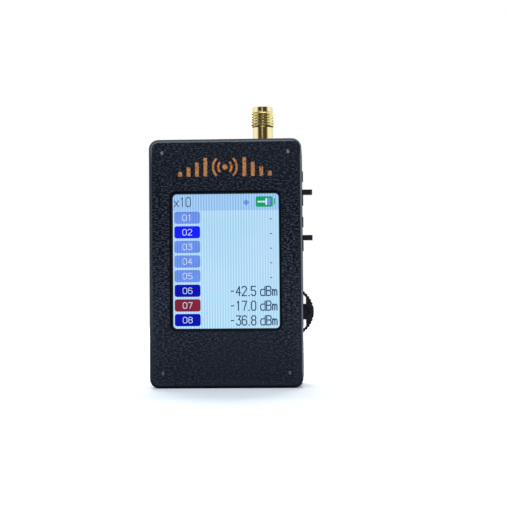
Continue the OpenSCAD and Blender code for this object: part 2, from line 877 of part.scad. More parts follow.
module main_board() {
    notch_w = flange_w + 2 * notch_gap;
    color(board_colour)
        face_prism(board_front_y, board_y)
            difference() {
                translate([0, case_h / 2])
                    rounded_rect(board_w, board_h, board_r);
                translate([socket_x - notch_w / 2, flange_z - notch_gap])
                    square([notch_w, flange_t + wall]);
                for (spot = screw_spots)
                    translate(spot)
                        circle(screw_r + screw_gap);
                for (spot = terminal_spots)
                    translate(spot)
                        circle(terminal_r + terminal_gap);
            }
}

module microcontroller() {
    first = -(leads_a_side - 1) / 2;
    color(chip_colour)
        board_block(chip_x, chip_z, chip_w, chip_w, chip_t);
    color(tin)
        for (turn = [0 : 90 : 270])
            translate([chip_x, board_y, chip_z])
                rotate([0, turn, 0])
                    for (i = [0 : leads_a_side - 1])
                        translate([chip_w / 2, 0, (first + i) * lead_pitch - lead_w / 2])
                            cube([lead_l, lead_t, lead_w]);
}

module rf_shield() {
    color(tin)
        difference() {
            slab([shield_x, board_y, shield_z],
                 [shield_x + shield_w, board_y + shield_d, shield_z + shield_h]);
            slab([shield_x + shield_t, board_y - cut, shield_z + shield_t],
                 [shield_x + shield_w - shield_t, board_y + shield_d - shield_t,
                  shield_z + shield_h - shield_t]);
            for (i = [-1 : 1], j = [-1 : 1])
                y_rod(shield_mid[0] + i * vent_pitch, shield_mid[1] + j * vent_pitch, vent_r,
                      board_y + shield_d - shield_t - cut, board_y + shield_d + cut);
        }
}

module rf_detector() {
    color(chip_colour)
        board_block(shield_mid[0], shield_mid[1], detector_w, detector_w, detector_t);
}

module clock_crystal() {
    color(steel)
        face_prism(board_y, board_y + crystal_t)
            translate([crystal_x, chip_z])
                rounded_rect(crystal_w, crystal_l, crystal_r);
}

module charger_chip() {
    color(chip_colour)
        board_block(charger_x, charger_z, charger_l, charger_w, charger_t);
    color(tin)
        for (side = [-1, 1], i = [-1, 0, 1])
            translate([charger_x + i * charger_pitch - lead_w / 2, board_y,
                       charger_z + side * (charger_w / 2 + lead_l / 2) - lead_l / 2])
                cube([lead_w, lead_t, lead_l]);
}

module power_coil() {
    color("#3a3c40") {
        board_block(coil_x, coil_z, coil_w, coil_w, coil_base_t);
        y_rod(coil_x, coil_z, coil_r, board_y, board_y + coil_base_t + coil_h);
    }
}

module passive_parts() {
    color("#a89a80")
        for (row = passive_rows, i = [0 : passive_count - 1])
            board_block(row[0] + i * passive_pitch, row[1], passive_l, passive_w, passive_t);
}

module battery_cell() {
    color("#b8bbbf")
        translate([0, cell_mid_y, cell_z])
            linear_extrude(cell_h)
                rounded_rect(cell_w, cell_t, cell_r);
}

module battery_adhesive() {
    color("#e6e3dc")
        slab([adhesive_inset - cell_w / 2, cell_back_y, cell_z + adhesive_inset],
             [cell_w / 2 - adhesive_inset, cover_y, cell_top - adhesive_inset]);
}

module battery_guard() {
    color("#c58a2c")
        slab([-guard_w / 2, cell_mid_y - guard_t / 2, cell_top],
             [guard_w / 2, cell_mid_y + guard_t / 2, cell_top + guard_h]);
}

function unit(v) = v / norm(v);
function bend_point(p, t) =
    pow(1 - t, 3) * p[0] + 3 * pow(1 - t, 2) * t * p[1] + 3 * (1 - t) * t * t * p[2] + pow(t, 3) * p[3];
function bend_slope(p, t) =
    pow(1 - t, 2) * (p[1] - p[0]) + 2 * (1 - t) * t * (p[2] - p[1]) + t * t * (p[3] - p[2]);
function lead_ring(p, t) =
    let (along = unit(bend_slope(p, t)),
         side = unit(cross(along, [1, 0, 0])),
         up = cross(along, side))
    [for (i = [0 : lead_sides - 1])
        bend_point(p, t) + lead_r * (cos(360 * i / lead_sides) * side + sin(360 * i / lead_sides) * up)];

// A battery lead that rises from the protection board and bends into the plug
module battery_lead(step) {
    from = [lead_start_x + step, cell_mid_y, cell_top + guard_h];
    to = [jack_x + step, plug_back_y, jack_z];
    route = [from, from + [0, 0, lead_rise], to + [0, lead_reach, 0], to];
    points = [for (k = [0 : lead_rings]) each lead_ring(route, k / lead_rings)];
    last = lead_rings * lead_sides;
    walls = [for (k = [0 : lead_rings - 1], i = [0 : lead_sides - 1])
             let (a = k * lead_sides + i, b = k * lead_sides + (i + 1) % lead_sides)
             each [[a, a + lead_sides, b + lead_sides], [a, b + lead_sides, b]]];
    start_cap = [for (i = [0 : lead_sides - 1]) i];
    end_cap = [for (i = [lead_sides - 1 : -1 : 0]) last + i];
    polyhedron(points, concat([start_cap], walls, [end_cap]));
}

module battery_lead_red() {
    color("#b3202a")
        battery_lead(lead_step / 2);
}

module battery_lead_black() {
    color("#1a1a1c")
        battery_lead(-lead_step / 2);
}

module battery_plug() {
    w = jack_w - 2 * jack_wall - 2 * plug_gap;
    h = jack_h - 2 * jack_wall - 2 * plug_gap;
    color("#f0eee6")
        slab([jack_x - w / 2, board_y + jack_floor, jack_z - h / 2],
             [jack_x + w / 2, plug_back_y, jack_z + h / 2]);
}

module battery_socket() {
    w = jack_w - 2 * jack_wall;
    h = jack_h - 2 * jack_wall;
    color("#e4e0d2")
        difference() {
            board_block(jack_x, jack_z, jack_w, jack_h, jack_d);
            slab([jack_x - w / 2, board_y + jack_floor, jack_z - h / 2],
                 [jack_x + w / 2, board_y + jack_d + cut, jack_z + h / 2]);
        }
}

// Half section of the socket's barrel, with one ridge for each turn of the thread
module barrel_section() {
    root_r = thread_r - thread_depth;
    slope = (thread_pitch - crest_w) / 2;
    bottom = thread_top - thread_turns * thread_pitch;
    ridges = [for (i = [0 : thread_turns - 1])
              let (z = bottom + i * thread_pitch)
              each [[root_r, z], [thread_r, z + slope], [thread_r, z + slope + crest_w]]];
    polygon(concat(
        [[insulator_r, flange_z], [neck_r, flange_z], [neck_r, bottom]],
        ridges,
        [[root_r, thread_top], [neck_r, thread_top], [neck_r, socket_top]],
        [[mouth_r, socket_top], [mouth_r, insulator_top], [insulator_r, insulator_top]]
    ));
}

module antenna_socket() {
    half = flange_w / 2;
    color(gold) {
        translate([socket_x, socket_y, 0])
            rotate_extrude()
                barrel_section();
        difference() {
            slab([socket_x - half, socket_y - half, flange_z],
                 [socket_x + half, socket_y + half, flange_z + flange_t]);
            translate([socket_x, socket_y, flange_z - cut])
                cylinder(r = insulator_r, h = flange_t + 2 * cut);
        }
        for (x = [socket_x - half, socket_x + half - leg_w], y = [board_front_y - leg_w, board_y])
            translate([x, y, flange_z - leg_l])
                cube([leg_w, leg_w, leg_l]);
    }
}

module socket_insulator() {
    color("#f2f1ec")
        translate([socket_x, socket_y, flange_z])
            difference() {
                cylinder(r = insulator_r, h = insulator_top - flange_z);
                translate([0, 0, -cut])
                    cylinder(r = contact_r, h = insulator_top - flange_z + 2 * cut);
            }
}

module socket_contact() {
    color(gold)
        translate([socket_x, socket_y, 0])
            difference() {
                union() {
                    translate([0, 0, flange_z])
                        cylinder(r = contact_r, h = insulator_top - flange_z);
                    translate([0, 0, flange_z - solder_pin_l])
                        cylinder(r = solder_pin_r, h = solder_pin_l + sink);
                }
                translate([0, 0, insulator_top - contact_bore_depth])
                    cylinder(r = contact_bore_r, h = contact_bore_depth + cut);
            }
}

// Body of a slide switch, with a hollow for the slider's foot and a shoulder at each end
module switch_body(middle) {
    shoulder_l = (switch_l - channel_l) / 2;
    hollow_l = foot_l + switch_travel + 2 * slider_gap;
    hollow_t = foot_t + 2 * slider_gap;
    stem_t = lever_t + 2 * slider_gap;
    difference() {
        slab([switch_back_x, board_y, middle - switch_l / 2],
             [switch_front_x, board_y + switch_t, middle + switch_l / 2]);
        slab([foot_x - slider_gap, switch_y - hollow_t / 2, middle - hollow_l / 2],
             [switch_front_x - plate_t, switch_y + hollow_t / 2, middle + hollow_l / 2]);
        slab([switch_front_x - plate_t - cut, switch_y - stem_t / 2, middle - channel_l / 2],
             [switch_front_x + cut, switch_y + stem_t / 2, middle + channel_l / 2]);
    }
    for (z = [middle - switch_l / 2, middle + switch_l / 2 - shoulder_l])
        slab([switch_front_x, switch_y - shoulder_t / 2, z],
             [side_x + shoulder_out, switch_y + shoulder_t / 2, z + shoulder_l]);
}

// Slider of a slide switch at the lower end of its travel
module switch_slider(middle) {
    z = middle - switch_travel / 2;
    slab([foot_x, switch_y - foot_t / 2, z - foot_l / 2],
         [foot_x + foot_d, switch_y + foot_t / 2, z + foot_l / 2]);
    slab([foot_x + foot_d, switch_y - lever_t / 2, z - lever_w / 2],
         [side_x + lever_out, switch_y + lever_t / 2, z + lever_w / 2]);
}

module power_switch_body() {
    color(black_plastic)
        switch_body(upper_switch_z);
}

module power_switch_slider() {
    color(black_plastic)
        switch_slider(upper_switch_z);
}

module range_switch_body() {
    color(black_plastic)
        switch_body(lower_switch_z);
}

module range_switch_slider() {
    color(black_plastic)
        switch_slider(lower_switch_z);
}

module switch_terminals() {
    color(tin)
        for (spot = terminal_spots)
            y_rod(spot[0], spot[1], terminal_r, board_front_y - terminal_out, board_y);
}

// Outline of the jog lever around its pivot: thumb pad, rim, arm, hub and tail
module jog_outline() {
    pad_x = jog_r - jog_pad;
    difference() {
        union() {
            difference() {
                intersection() {
                    circle(jog_r);
                    sector(jog_sweep, 2 * jog_r);
                }
                difference() {
                    intersection() {
                        circle(jog_r - jog_rim);
                        translate([-jog_r, -jog_r])
                            square([jog_r + pad_x, 2 * jog_r]);
                    }
                    translate([-jog_r, -jog_arm_w / 2])
                        square([2 * jog_r, jog_arm_w]);
                }
            }
            circle(jog_hub_r);
            translate([-jog_tail_l, -jog_tail_w / 2])
                square([jog_tail_l, jog_tail_w]);
        }
        circle(pivot_r + pivot_gap);
        for (i = [-notch_count : notch_count])
            if (abs(i) > 1)
                rotate(i * notch_step)
                    translate([jog_r + notch_r - notch_depth, 0])
                        circle(notch_r);
    }
}

// Moves a shape drawn around the jog lever's pivot to its place
module at_jog() {
    translate([jog_x, 0, jog_z])
        children();
}

module jog_lever() {
    color(black_plastic)
        at_jog()
            difference() {
                face_prism(jog_y, jog_y + jog_t)
                    jog_outline();
                y_rod(jog_r - jog_dish_in, 0, jog_dish_r, jog_y - cut, jog_y + jog_dish_depth);
            }
}

module jog_base() {
    back = dome_x - rear_wall_t;
    rail_z = carrier_w / 2 + carrier_gap;
    color("#2b2d33")
        at_jog() {
            difference() {
                slab([back, board_y, -base_w / 2], [carrier_nose, board_y + base_t, base_w / 2]);
                slab([dome_x, board_y - cut, -dome_r - carrier_gap],
                     [dome_x + dome_h + dome_gap, board_y + base_t + cut, dome_r + carrier_gap]);
            }
            for (z = [-base_w / 2, rail_z])
                slab([back, board_y + base_t, z],
                     [carrier_nose, carrier_y + carrier_t, z + rail_w]);
            slab([back, board_y + base_t, -rail_z], [dome_x, jog_y + jog_t, rail_z]);
        }
}

module jog_carrier() {
    color("#d9d7cf")
        at_jog() {
            face_prism(carrier_y, carrier_y + carrier_t)
                difference() {
                    translate([-carrier_l, -carrier_w / 2])
                        square([carrier_l + carrier_nose, carrier_w]);
                    circle(pivot_r + press_gap);
                }
            y_rod(-post_x, 0, post_r, carrier_y + carrier_t, jog_y + jog_t);
            x_rod(carrier_y + carrier_t / 2, 0, nub_r - press_gap, -carrier_l - nub_l, -carrier_l);
        }
}

module jog_pivot_pin() {
    color(steel)
        at_jog()
            y_rod(0, 0, pivot_r, carrier_y, pivot_top_y);
}

module jog_clip() {
    color(steel)
        at_jog()
            face_prism(clip_y, clip_y + clip_t)
                difference() {
                    circle(clip_r);
                    circle(pivot_r + press_gap);
                    translate([0, -pivot_r / 2])
                        square([2 * clip_r, pivot_r]);
                }
}

module jog_spring() {
    outer = spring_r + spring_t;
    prong_l = post_x - jog_hub_r - spring_gap;
    color(steel)
        at_jog()
            face_prism(jog_y, jog_y + spring_h)
                translate([-post_x, 0]) {
                    intersection() {
                        difference() {
                            circle(outer);
                            circle(spring_r);
                        }
                        translate([-2 * outer, -outer])
                            square([2 * outer, 2 * outer]);
                    }
                    for (z = [spring_r, -outer])
                        translate([0, z])
                            square([prong_l, spring_t]);
                }
}

// A cap of a sphere on the face of the base's rear wall
module jog_dome() {
    ball_r = (pow(dome_r, 2) + pow(dome_h, 2)) / (2 * dome_h);
    color(tin)
        at_jog()
            intersection() {
                translate([dome_x + dome_h - ball_r, carrier_y + carrier_t / 2, 0])
                    sphere(ball_r);
                slab([dome_x, carrier_y - ball_r, -ball_r],
                     [dome_x + 2 * dome_h, carrier_y + carrier_t + ball_r, ball_r]);
            }
}

module usb_shell() {
    color(tin)
        side_prism(usb_mouth_x, usb_mouth_x + usb_l)
            translate([usb_y, usb_z])
                difference() {
                    rounded_rect(usb_t, usb_w, usb_r);
                    rounded_rect(usb_t - 2 * usb_sheet, usb_w - 2 * usb_sheet, usb_r - usb_sheet);
                }
}

module usb_tongue() {
    block_x = usb_mouth_x + usb_l - tongue_block;
    color("#24262b") {
        side_prism(block_x, usb_mouth_x + usb_l)
            translate([usb_y, usb_z])
                rounded_rect(usb_t - 2 * usb_sheet, usb_w - 2 * usb_sheet, usb_r - usb_sheet);
        slab([block_x - tongue_l, usb_y - tongue_t / 2, usb_z - tongue_w / 2],
             [block_x, usb_y + tongue_t / 2, usb_z + tongue_w / 2]);
    }
}

front_case();
back_cover();
case_screws();
display_gasket();
lcd_panel();
lcd_driver();
lcd_backlight();
lcd_ribbon();
display_pad();
main_board();
microcontroller();
rf_shield();
rf_detector();
clock_crystal();
charger_chip();
power_coil();
passive_parts();
battery_cell();
battery_adhesive();
battery_guard();
battery_lead_red();
battery_lead_black();
battery_plug();
battery_socket();
antenna_socket();
socket_insulator();
socket_contact();
power_switch_body();
power_switch_slider();
range_switch_body();
range_switch_slider();
switch_terminals();
jog_base();
jog_carrier();
jog_pivot_pin();
jog_lever();
jog_clip();
jog_spring();
jog_dome();
usb_shell();
usb_tongue();
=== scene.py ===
# Looks of a hand-held field strength meter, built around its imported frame.
# Lengths are in metres; sizes are written in millimetres and multiplied by MM.
import json
import math
from collections import namedtuple

import bmesh
import bpy
from mathutils import Matrix, Vector, noise

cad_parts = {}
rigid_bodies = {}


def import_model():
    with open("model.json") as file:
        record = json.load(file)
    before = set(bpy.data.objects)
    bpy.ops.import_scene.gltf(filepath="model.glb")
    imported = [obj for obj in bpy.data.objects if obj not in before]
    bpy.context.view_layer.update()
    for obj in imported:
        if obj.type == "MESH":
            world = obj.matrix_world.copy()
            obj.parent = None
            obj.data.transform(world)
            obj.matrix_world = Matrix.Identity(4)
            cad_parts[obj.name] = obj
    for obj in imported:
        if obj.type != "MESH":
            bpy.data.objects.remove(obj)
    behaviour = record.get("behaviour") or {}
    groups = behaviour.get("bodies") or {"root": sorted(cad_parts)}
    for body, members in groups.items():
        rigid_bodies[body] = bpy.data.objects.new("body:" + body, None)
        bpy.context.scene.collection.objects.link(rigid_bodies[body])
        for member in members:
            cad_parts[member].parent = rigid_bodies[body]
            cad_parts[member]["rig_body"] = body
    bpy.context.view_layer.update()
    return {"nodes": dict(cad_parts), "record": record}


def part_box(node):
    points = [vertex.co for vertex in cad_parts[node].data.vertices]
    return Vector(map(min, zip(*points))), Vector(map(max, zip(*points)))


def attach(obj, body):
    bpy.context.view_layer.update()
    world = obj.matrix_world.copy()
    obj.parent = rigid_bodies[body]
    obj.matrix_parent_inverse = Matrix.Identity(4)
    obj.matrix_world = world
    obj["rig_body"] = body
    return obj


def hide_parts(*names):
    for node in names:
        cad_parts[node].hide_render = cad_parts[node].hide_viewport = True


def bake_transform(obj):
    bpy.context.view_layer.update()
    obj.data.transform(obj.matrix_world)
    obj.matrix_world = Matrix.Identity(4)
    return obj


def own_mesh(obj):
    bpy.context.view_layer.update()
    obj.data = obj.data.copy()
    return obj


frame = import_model()
nodes = frame["nodes"]

MM = 0.001

# Places taken from the frame
CASE_LOW, CASE_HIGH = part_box("front_case")
COVER_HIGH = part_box("back_cover")[1]
CASE_MID = (CASE_LOW + COVER_HIGH) / 2
CASE_HALF = (COVER_HIGH - CASE_LOW) / 2
CASE_RIGHT = CASE_HIGH.x
CASE_TOP = CASE_HIGH.z
CORNER_R = 2.5 * MM
FACE_Y = CASE_LOW.y
SCREEN_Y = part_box("lcd_panel")[0].y
GASKET_LOW, GASKET_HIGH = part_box("display_gasket")
SCREWS_LOW, SCREWS_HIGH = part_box("case_screws")
SCREW_HEAD_R = 1.9 * MM
SOCKET_LOW, SOCKET_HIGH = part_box("antenna_socket")
CONTACT_LOW, CONTACT_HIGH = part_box("socket_contact")
INSULATOR_LOW, INSULATOR_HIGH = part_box("socket_insulator")
BOARD_LOW, BOARD_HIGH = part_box("main_board")

# The window is the foam frame's outline less its border
GASKET_BORDER = 2.4 * MM
WINDOW_W = GASKET_HIGH.x - GASKET_LOW.x - 2 * GASKET_BORDER
WINDOW_H = GASKET_HIGH.z - GASKET_LOW.z - 2 * GASKET_BORDER
WINDOW_Z = (GASKET_HIGH.z + GASKET_LOW.z) / 2
WINDOW_LEFT = -WINDOW_W / 2
WINDOW_TOP = WINDOW_Z + WINDOW_H / 2
WINDOW_R = 1.15 * MM
WINDOW_DEEPEST = 3 * MM

# The curve between a colour on a screen and linear light
CURVE_KNEE = 0.04045
CURVE_SLOPE = 12.92
CURVE_LIFT = 0.055
CURVE_POWER = 2.4

# Colour sockets of a mix node, by their place among its inputs and outputs
MIX_SHARE, MIX_FIRST, MIX_SECOND = 0, 6, 7
MIX_RESULT = 2

BLACK = (0, 0, 0, 1)
PURE_WHITE = (1, 1, 1, 1)
BUMP_FILTER = 0.3


def linear(red, green, blue):
    """A colour as it shows on a screen, 0 to 255, as the linear colour that a shader takes."""
    def one(value):
        share = value / 255
        if share <= CURVE_KNEE:
            return share / CURVE_SLOPE
        return ((share + CURVE_LIFT) / (1 + CURVE_LIFT)) ** CURVE_POWER
    return (one(red), one(green), one(blue), 1)


class Nodes:
    """A node tree whose nodes are added one at a time."""

    def __init__(self, tree):
        self.tree = tree

    def add(self, kind, inputs=(), **settings):
        """A new node of that kind, with its settings and its inputs."""
        node = self.tree.nodes.new("ShaderNode" + kind)
        for key, value in settings.items():
            setattr(node, key, value)
        for socket, value in dict(inputs).items():
            self.put(node.inputs[socket], value)
        return node

    def put(self, socket, value):
        """Links a socket to another node's output, or gives it a fixed value."""
        if isinstance(value, bpy.types.NodeSocket):
            self.tree.links.new(value, socket)
        else:
            socket.default_value = value

    def math(self, operation, *values):
        """The result of one operation."""
        return self.add("Math", enumerate(values), operation=operation).outputs[0]

    def product(self, result, *others):
        """All the values multiplied."""
        for value in others:
            result = self.math("MULTIPLY", result, value)
        return result

    def ramp(self, value, low, high, to_low=0.0, to_high=1.0):
        """A value that goes smoothly from to_low to to_high between low and high."""
        inputs = {"Value": value, "From Min": low, "From Max": high, "To Min": to_low, "To Max": to_high}
        return self.add("MapRange", inputs, interpolation_type="SMOOTHSTEP").outputs[0]

    def band(self, value, start, end):
        """1 between two soft borders and 0 beyond them; each border is a pair of values."""
        return self.product(self.ramp(value, *start), self.ramp(value, *end, 1.0, 0.0))

    def mix(self, share, first, second):
        """The first colour with a share of the second."""
        inputs = {MIX_SHARE: share, MIX_FIRST: first, MIX_SECOND: second}
        return self.add("Mix", inputs, data_type="RGBA").outputs[MIX_RESULT]


class Finish(Nodes):
    """A material that changes with the place of a point on the object."""

    def __init__(self, name, **constants):
        self.material = bpy.data.materials.new(name)
        self.material.use_nodes = True
        super().__init__(self.material.node_tree)
        self.shader = self.tree.nodes["Principled BSDF"]
        for key, value in constants.items():
            self.set(key.replace("_", " ").title().replace("Ior", "IOR"), value)
        self.place = self.add("TexCoord").outputs["Object"]

    def set(self, socket, value):
        """Sets an input of the surface's shader."""
        self.put(self.shader.inputs[socket], value)

    def split(self):
        """The place along each of the three axes."""
        return self.add("SeparateXYZ", {0: self.place}).outputs

    def length(self, first, second):
        """The straight way across two steps that are square to each other."""
        squares = [self.math("MULTIPLY", step, step) for step in (first, second)]
        return self.math("SQRT", self.math("ADD", *squares))

    def noise(self, size, detail=2.0, roughness=0.5, place=None):
        """Noise whose lumps are about that size, in metres."""
        inputs = {"Vector": place or self.place, "Scale": 1 / size, "Detail": detail, "Roughness": roughness}
        return self.add("TexNoise", inputs).outputs[0]

    def stretch(self, scale):
        """The place, stretched along each axis."""
        return self.add("Mapping", {"Vector": self.place, "Scale": scale}).outputs[0]

    def bump(self, height, depth):
        """Tilts the surface as a height between 0 and 1 would, with that depth between them."""
        inputs = {"Height": height, "Distance": depth, "Strength": 1.0, "Filter Width": BUMP_FILTER}
        self.set("Normal", self.add("Bump", inputs).outputs[0])

    def glow(self, colour):
        """Makes the surface shine in that colour."""
        self.set("Emission Color", colour)
        self.set("Emission Strength", 1.0)


# Case: sizes and places of its grain, its patches and the painted highlights in its dimples
GRAIN_SIZE = 0.38 * MM
GRAIN_STRETCH = (0.5, 1, 1)
GRAIN_HEIGHTS = (0.43, 0.69)
GRAIN_MIDDLE = 0.35
GRAIN_DEPTH = 0.025 * MM
PATCH_SIZE = 6 * MM
FAINT_GRAIN_X = 3 * MM
FAINT_GRAIN_Z = 6 * MM
DIMPLE_SQUEEZE = 1.3
DIMPLE_GRIT = 0.4 * MM
DIMPLE_BREAK = 0.7 * MM

# Case: changes away from an edge, the window, a dimple or the patch of fainter grain: start, end, values
# there (or 0 and 1)
GRAIN_FROM_EDGE = (0.6 * MM, 0.95 * MM)
GRAIN_FROM_WINDOW = (0.45 * MM, 0.8 * MM)
# Painted shade in a thin dark ring on the face around the window
WINDOW_RIM_PAINTED_SHADE = (0.4 * MM, 0.7 * MM, 1.0, 0.0)
EDGE_WEAR = (0.45 * MM, 0.8 * MM, 0.1, 0.0)
# Painted highlight line around the front, strongest along the top edge, and painted reflection line along
# the right edge
PAINTED_HIGHLIGHT_LINE = ((0.45 * MM, 0.65 * MM), (0.75 * MM, 0.95 * MM))
PAINTED_REFLECTION_LINE = ((0.0, 0.15 * MM), (0.25 * MM, 0.42 * MM))
# Painted light that lifts the grain near the sides
PAINTED_SIDE_LIGHT = (0.8 * MM, 3 * MM, 0.12, 0.0)
# Painted highlights in the dimples
DIMPLE_RIM = (0.65 * MM, 1.0 * MM, 1.0, 0.0)
DIMPLE_PIT = (0.05 * MM, 0.3 * MM, 0.5, 1.0)
# The patch where the grain's painted shade and highlights are fainter
FAINT_GRAIN_EDGE = (5 * MM, 15 * MM, 0.55, 1.0)

# Case: changes along its height, width and depth
# Painted shade on the smooth border along the top and the bottom edges
TOP_EDGE_PAINTED_SHADE = (CASE_TOP - 5 * MM, CASE_TOP - 2 * MM, 0.0, 0.8)
BOTTOM_EDGE_PAINTED_SHADE = (0.2 * MM, 1.2 * MM, 0.8, 0.0)
# How strong the grain's painted shade and highlights are near the bottom and near the top
LOWER_GRAIN = (4 * MM, 24 * MM, 0.45, 0.97)
UPPER_GRAIN = (CASE_TOP - 19 * MM, CASE_TOP - 5 * MM, 1.0, 0.6)
# Painted shade that darkens the grain higher up the front; the grain is also darker towards the bottom
UPPER_PAINTED_SHADE = (22 * MM, 54 * MM, 0.41, 0.22)
FOOT_LEVEL = (3 * MM, 20 * MM, 0.78, 1.0)
# Where the painted light near the sides fades out, going up
PAINTED_SIDE_LIGHT_FADE = (20 * MM, 40 * MM, 1.0, 0.0)
EDGE_WEAR_FOOT = (1 * MM, 4 * MM)
# Where the painted highlight line starts low down, grows towards the top and stops at the right
PAINTED_HIGHLIGHT_FOOT = (4 * MM, 20 * MM)
PAINTED_HIGHLIGHT_RISE = (CASE_TOP - 7 * MM, CASE_TOP - 2 * MM, 0.2, 0.85)
PAINTED_HIGHLIGHT_STOP = (CASE_RIGHT - 3 * MM, CASE_RIGHT - 1 * MM, 1.0, 0.0)
# Where the painted reflection line starts low down and along the right edge
PAINTED_REFLECTION_FOOT = (2 * MM, 5 * MM)
PAINTED_REFLECTION_START = (CASE_RIGHT - 4 * MM, CASE_RIGHT - 1 * MM, 0.0, 0.75)
# Painted highlights in the dimples grow stronger going up
DIMPLE_HIGHLIGHT_RISE = (10 * MM, 55 * MM, 0.55, 1.0)
FRONT_END = (FACE_Y + 0.3 * MM, FACE_Y + 0.6 * MM, 1.0, 0.0)

# Case: roughness of its borders and its grain, and from the front to the sides
GRAIN_ROUGH = (0.0, 1.0, 0.32, 0.25)
SIDE_ROUGH = (FACE_Y + 0.4 * MM, FACE_Y + 1 * MM, 0.25, 0.6)


def wall_gap(f, axis):
    """How far a point lies inside the case's nearer wall along an axis."""
    from_middle = f.math("ABSOLUTE", f.math("SUBTRACT", f.split()[axis], CASE_MID[axis]))
    return f.math("SUBTRACT", CASE_HALF[axis], from_middle)


def outline_distance(f):
    """How far a point lies inside the case's round-cornered outline, seen from the front."""
    steps = [f.math("SUBTRACT", CORNER_R, wall_gap(f, axis)) for axis in (0, 2)]
    from_corner = f.length(*[f.math("MAXIMUM", step, 0.0) for step in steps])
    return f.math("SUBTRACT", CORNER_R, from_corner)


def window_distance(f):
    """How far a point of the front lies outside the window; any point further back counts as far."""
    across, back, rise = f.split()
    beside = f.math("SUBTRACT", f.math("ABSOLUTE", across), WINDOW_W / 2 - WINDOW_R)
    height = f.math("ABSOLUTE", f.math("SUBTRACT", rise, WINDOW_Z))
    above = f.math("SUBTRACT", height, WINDOW_H / 2 - WINDOW_R)
    from_corner = f.length(*[f.math("MAXIMUM", step, 0.0) for step in (beside, above)])
    outside = f.math("SUBTRACT", from_corner, WINDOW_R)
    behind = f.math("SUBTRACT", back, FACE_Y + WINDOW_DEEPEST)
    return f.math("MAXIMUM", outside, behind)


def dimple_distance(f):
    """How far a point lies from the axis of the nearest screw, seen from the front."""
    axes = f.split()
    middle_z = (SCREWS_HIGH.z + SCREWS_LOW.z) / 2
    half_z = (SCREWS_HIGH.z - SCREWS_LOW.z) / 2
    beside = f.math("SUBTRACT", f.math("ABSOLUTE", axes[0]), SCREWS_HIGH.x - SCREW_HEAD_R)
    height = f.math("ABSOLUTE", f.math("SUBTRACT", axes[2], middle_z))
    above = f.math("SUBTRACT", height, half_z - SCREW_HEAD_R)
    return f.length(f.math("MULTIPLY", beside, DIMPLE_SQUEEZE), above)


def faint_grain_distance(f):
    """How far a point lies from the middle of the patch low on the front where the grain's painted shade and
    highlights are fainter.
    """
    axes = f.split()
    return f.length(f.math("SUBTRACT", axes[0], FAINT_GRAIN_X), f.math("SUBTRACT", axes[2], FAINT_GRAIN_Z))


def grain(f):
    """Height of the case's leather-like grain, from 0 in a crease to 1 on a fold."""
    wisps = f.noise(GRAIN_SIZE, detail=1.0, place=f.stretch(GRAIN_STRETCH))
    return f.ramp(wisps, *GRAIN_HEIGHTS)


def smooth_colour(f, rise):
    """Colour of the smooth borders: a little uneven, with painted shade that makes them darkest along the
    top and the bottom.
    """
    patches = f.mix(f.noise(PATCH_SIZE, detail=3.0), linear(27, 35, 46), linear(33, 41, 53))
    # Painted shade along the top and the bottom edges
    dark = f.math("MAXIMUM", f.ramp(rise, *TOP_EDGE_PAINTED_SHADE), f.ramp(rise, *BOTTOM_EDGE_PAINTED_SHADE))
    return f.mix(dark, patches, linear(4, 9, 16))


def grained_colour(f, rise, outline, height):
    """Colour of the grain: painted shade in its creases and painted highlights on its folds, fainter at both
    ends and in a patch low on the front, with painted shade higher up and painted light near the sides.
    """
    # A patch low on the front where the grain's painted shade and highlights are fainter
    faint_grain = f.ramp(faint_grain_distance(f), *FAINT_GRAIN_EDGE)
    strength = f.product(f.ramp(rise, *LOWER_GRAIN), f.ramp(rise, *UPPER_GRAIN), faint_grain)
    # Painted shade higher up the front, and darker towards the bottom
    front = f.product(f.ramp(rise, *UPPER_PAINTED_SHADE), f.ramp(rise, *FOOT_LEVEL))
    # Painted light near the sides, low on the front
    border = f.product(f.ramp(outline, *PAINTED_SIDE_LIGHT), f.ramp(rise, *PAINTED_SIDE_LIGHT_FADE))
    level = f.math("ADD", front, border)
    # Creases take the dark colour as painted shade, and folds take the pale one as painted highlight
    shade = f.math("MULTIPLY_ADD", f.math("SUBTRACT", height, GRAIN_MIDDLE), strength, level)
    return f.mix(shade, linear(0, 13, 29), linear(64, 70, 83))


def edge_wear_and_highlights(f, outline, edge, front):
    """Share of pale colour: faint wear on edges behind the front, and thin lines around the front that are a
    painted highlight, strongest along the top edge, and a painted reflection along the right edge.
    """
    axes = f.split()
    across, rise = axes[0], axes[2]
    behind = f.math("SUBTRACT", 1.0, front)
    faint = f.product(f.ramp(edge, *EDGE_WEAR), f.ramp(rise, *EDGE_WEAR_FOOT), behind)
    # Painted highlight line, strongest along the top edge, and painted reflection line along the right edge
    painted_highlight = f.product(f.band(outline, *PAINTED_HIGHLIGHT_LINE), f.ramp(rise, *PAINTED_HIGHLIGHT_RISE),
                      f.ramp(across, *PAINTED_HIGHLIGHT_STOP), f.ramp(rise, *PAINTED_HIGHLIGHT_FOOT))
    outer = f.product(f.band(outline, *PAINTED_REFLECTION_LINE), f.ramp(across, *PAINTED_REFLECTION_START),
                      f.ramp(rise, *PAINTED_REFLECTION_FOOT))
    lines = f.product(f.math("MAXIMUM", painted_highlight, outer), front)
    return f.math("MAXIMUM", faint, lines)


def dimple_highlight(f, rise, front):
    """Share of painted highlight in the front's dimples, broken at the rim and stronger higher up."""
    dimple = dimple_distance(f)
    broken = f.math("MULTIPLY_ADD", f.noise(DIMPLE_GRIT), DIMPLE_BREAK, dimple)
    inside = f.product(f.ramp(broken, *DIMPLE_RIM), f.ramp(dimple, *DIMPLE_PIT))
    return f.product(inside, f.ramp(rise, *DIMPLE_HIGHLIGHT_RISE), front)


